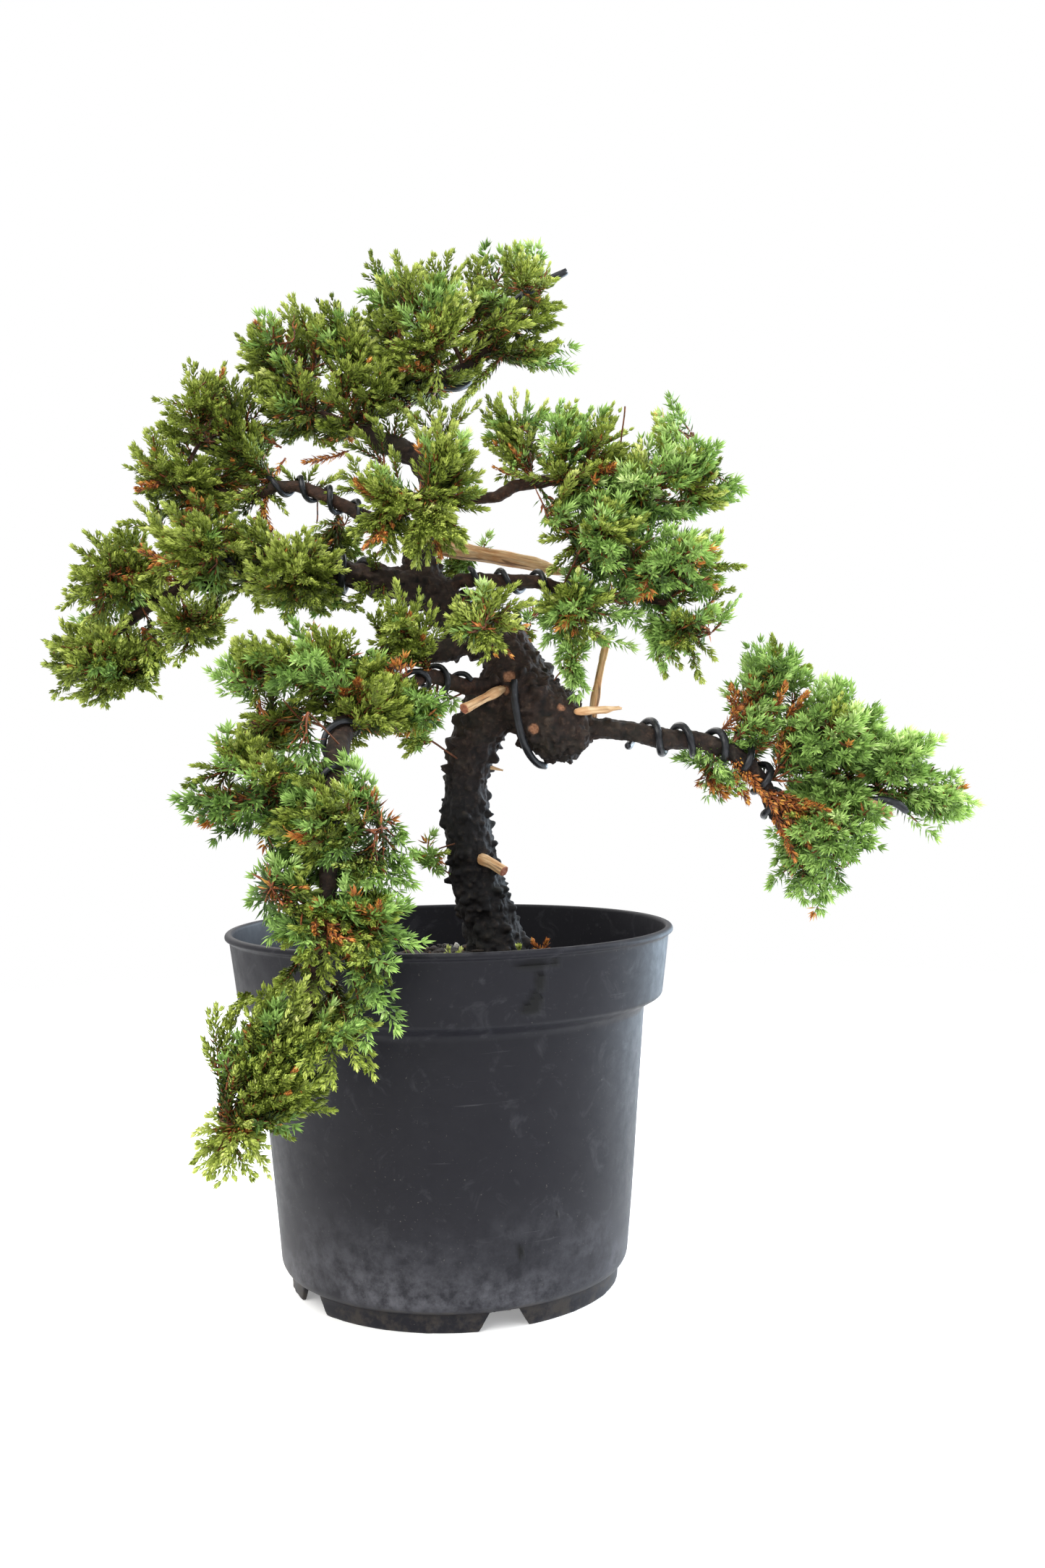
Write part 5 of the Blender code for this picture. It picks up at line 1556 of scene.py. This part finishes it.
def build_rod(name, path, thick_start, thick_stop, material, slot):
    """A short round rod along a path of points in millimetres from the pot's foot."""
    path = np.array(path, float)
    count, sides = 14, 12
    share = np.linspace(0, 1, count)[:, None]
    line = path[0] * (1 - share) ** 2 + path[1] * 2 * share * (1 - share) + path[2] * share ** 2
    axis = unit(np.gradient(line, axis=0))
    across, other = side_axes(axis)
    thick = thick_start + (thick_stop - thick_start) * share[:, 0]
    thick = thick * (1 + 0.06 * noise(line, 2.0, 95))
    thick[[0, -1]] *= 0.72
    rings = []
    for side in range(sides):
        angle = 2 * math.pi * side / sides
        out = across * math.cos(angle) + other * math.sin(angle)
        rings.append(line + out * thick[:, None])
    rings = np.stack(rings, 1)
    rings = np.concatenate([line[:1, None].repeat(sides, 1), rings, line[-1:, None].repeat(sides, 1)])
    mesh = make_mesh(name, rings.reshape(-1, 3) * MM + POT_AXIS, lathe_faces(count + 2, sides, False))
    turned_outward(mesh, 0.01)
    places = mesh_points(mesh)
    set_vector(mesh, "grain", places)
    set_value(mesh, "end_grain", np.full(len(places), 0.6))
    add_piece(name, mesh, material, slot)


# ---------------------------------------------------------------- stage

def build_stage():
    """White backdrop, a pale floor that fades into it, and soft lamps."""
    world = bpy.data.worlds.new("studio")
    bpy.context.scene.world = world
    world.use_nodes = True
    nodes, links = world.node_tree.nodes, world.node_tree.links
    background = nodes["Background"]
    background.inputs["Color"].default_value = (1.0, 1.0, 1.0, 1.0)
    rays = nodes.new("ShaderNodeLightPath")
    level = nodes.new("ShaderNodeMapRange")
    level.inputs["To Min"].default_value = WORLD_LIGHT
    level.inputs["To Max"].default_value = 1.0
    links.new(rays.outputs["Is Camera Ray"], level.inputs["Value"])
    links.new(level.outputs["Result"], background.inputs["Strength"])

    angles = np.linspace(0, 2 * math.pi, FLOOR_SIDES, endpoint=False)
    rim = np.stack([np.cos(angles), np.sin(angles), angles * 0], 1) * FLOOR_REACH
    floor_mesh = bpy.data.meshes.new("floor")
    floor_mesh.from_pydata([tuple(p) for p in rim], [], [list(range(FLOOR_SIDES))])
    floor = bpy.data.objects.new("studio_floor", floor_mesh)
    bpy.context.scene.collection.objects.link(floor)
    paper = Look("studio_paper")
    tone = paper.ramp(paper.noise(60, 2), [(0.3, 0.90), (0.7, 0.93)])
    away = paper.nodes.new("ShaderNodeVectorMath")
    away.operation = "LENGTH"
    paper.links.new(paper.place, away.inputs[0])
    share = paper.math("DIVIDE", away.outputs["Value"], FLOOR_REACH)
    fade = paper.ramp(share, [(0.30, 1.0), (0.95, 0.0)], "EASE")
    floor_mesh.materials.append(paper.finish(
        tone, 0.95, Alpha=fade, Emission_Color=(1.0, 1.0, 1.0), Emission_Strength=FLOOR_GLOW))

    for index, (place, size, power, tint) in enumerate(LAMPS):
        data = bpy.data.lights.new(f"softbox_{index}", "AREA")
        data.shape = "SQUARE"
        data.size = size
        data.energy = power
        data.color = tint
        lamp = bpy.data.objects.new(data.name, data)
        lamp.location = place
        lamp.visible_camera = False
        aim = Vector(LAMP_AIM) - Vector(place)
        lamp.rotation_euler = aim.to_track_quat("-Z", "Y").to_euler()
        bpy.context.scene.collection.objects.link(lamp)


def build_camera():
    """The eye is level with the upper trunk, a little left of the plant's middle."""
    yaw, pitch, roll = (math.radians(degrees) for degrees in CAMERA_TURN)
    ahead = Vector((math.sin(yaw) * math.cos(pitch), math.cos(yaw) * math.cos(pitch), -math.sin(pitch)))
    level = Vector((math.cos(yaw), -math.sin(yaw), 0))
    above = level.cross(ahead)
    right = math.cos(roll) * level + math.sin(roll) * above
    top = -math.sin(roll) * level + math.cos(roll) * above
    data = bpy.data.cameras.new("camera")
    data.lens = CAMERA_LENS
    data.sensor_width = CAMERA_SENSOR
    data.clip_start = 0.02
    data.clip_end = 50.0
    camera = bpy.data.objects.new("camera", data)
    turn = Matrix((right, top, -ahead)).transposed()
    camera.matrix_world = Matrix.Translation(Vector(at(*CAMERA_PLACE))) @ turn.to_4x4()
    bpy.context.scene.collection.objects.link(camera)
    bpy.context.scene.camera = camera
    bpy.context.scene.view_settings.view_transform = "Standard"


build_stage()
build_camera()
build_pot()
build_pot_floor()
build_soil_bed()
build_grains()
build_bark()
for stub_name, torn, sawn in STUBS:
    build_stub(stub_name, torn, sawn)
for wire_name in WIRES:
    build_wire(wire_name)
for pad_number, pad_name in enumerate(PADS):
    build_pad(pad_name, 100 + pad_number, *PAD_GROWTH)
for sprig_number, sprig_name in enumerate(SPRIGS):
    build_pad(sprig_name, 200 + sprig_number, *SPRIG_GROWTH)
build_loose()
for rod_name, path, thick_start, thick_stop, look, slot in RODS:
    build_rod(rod_name, path, thick_start, thick_stop, look, slot)
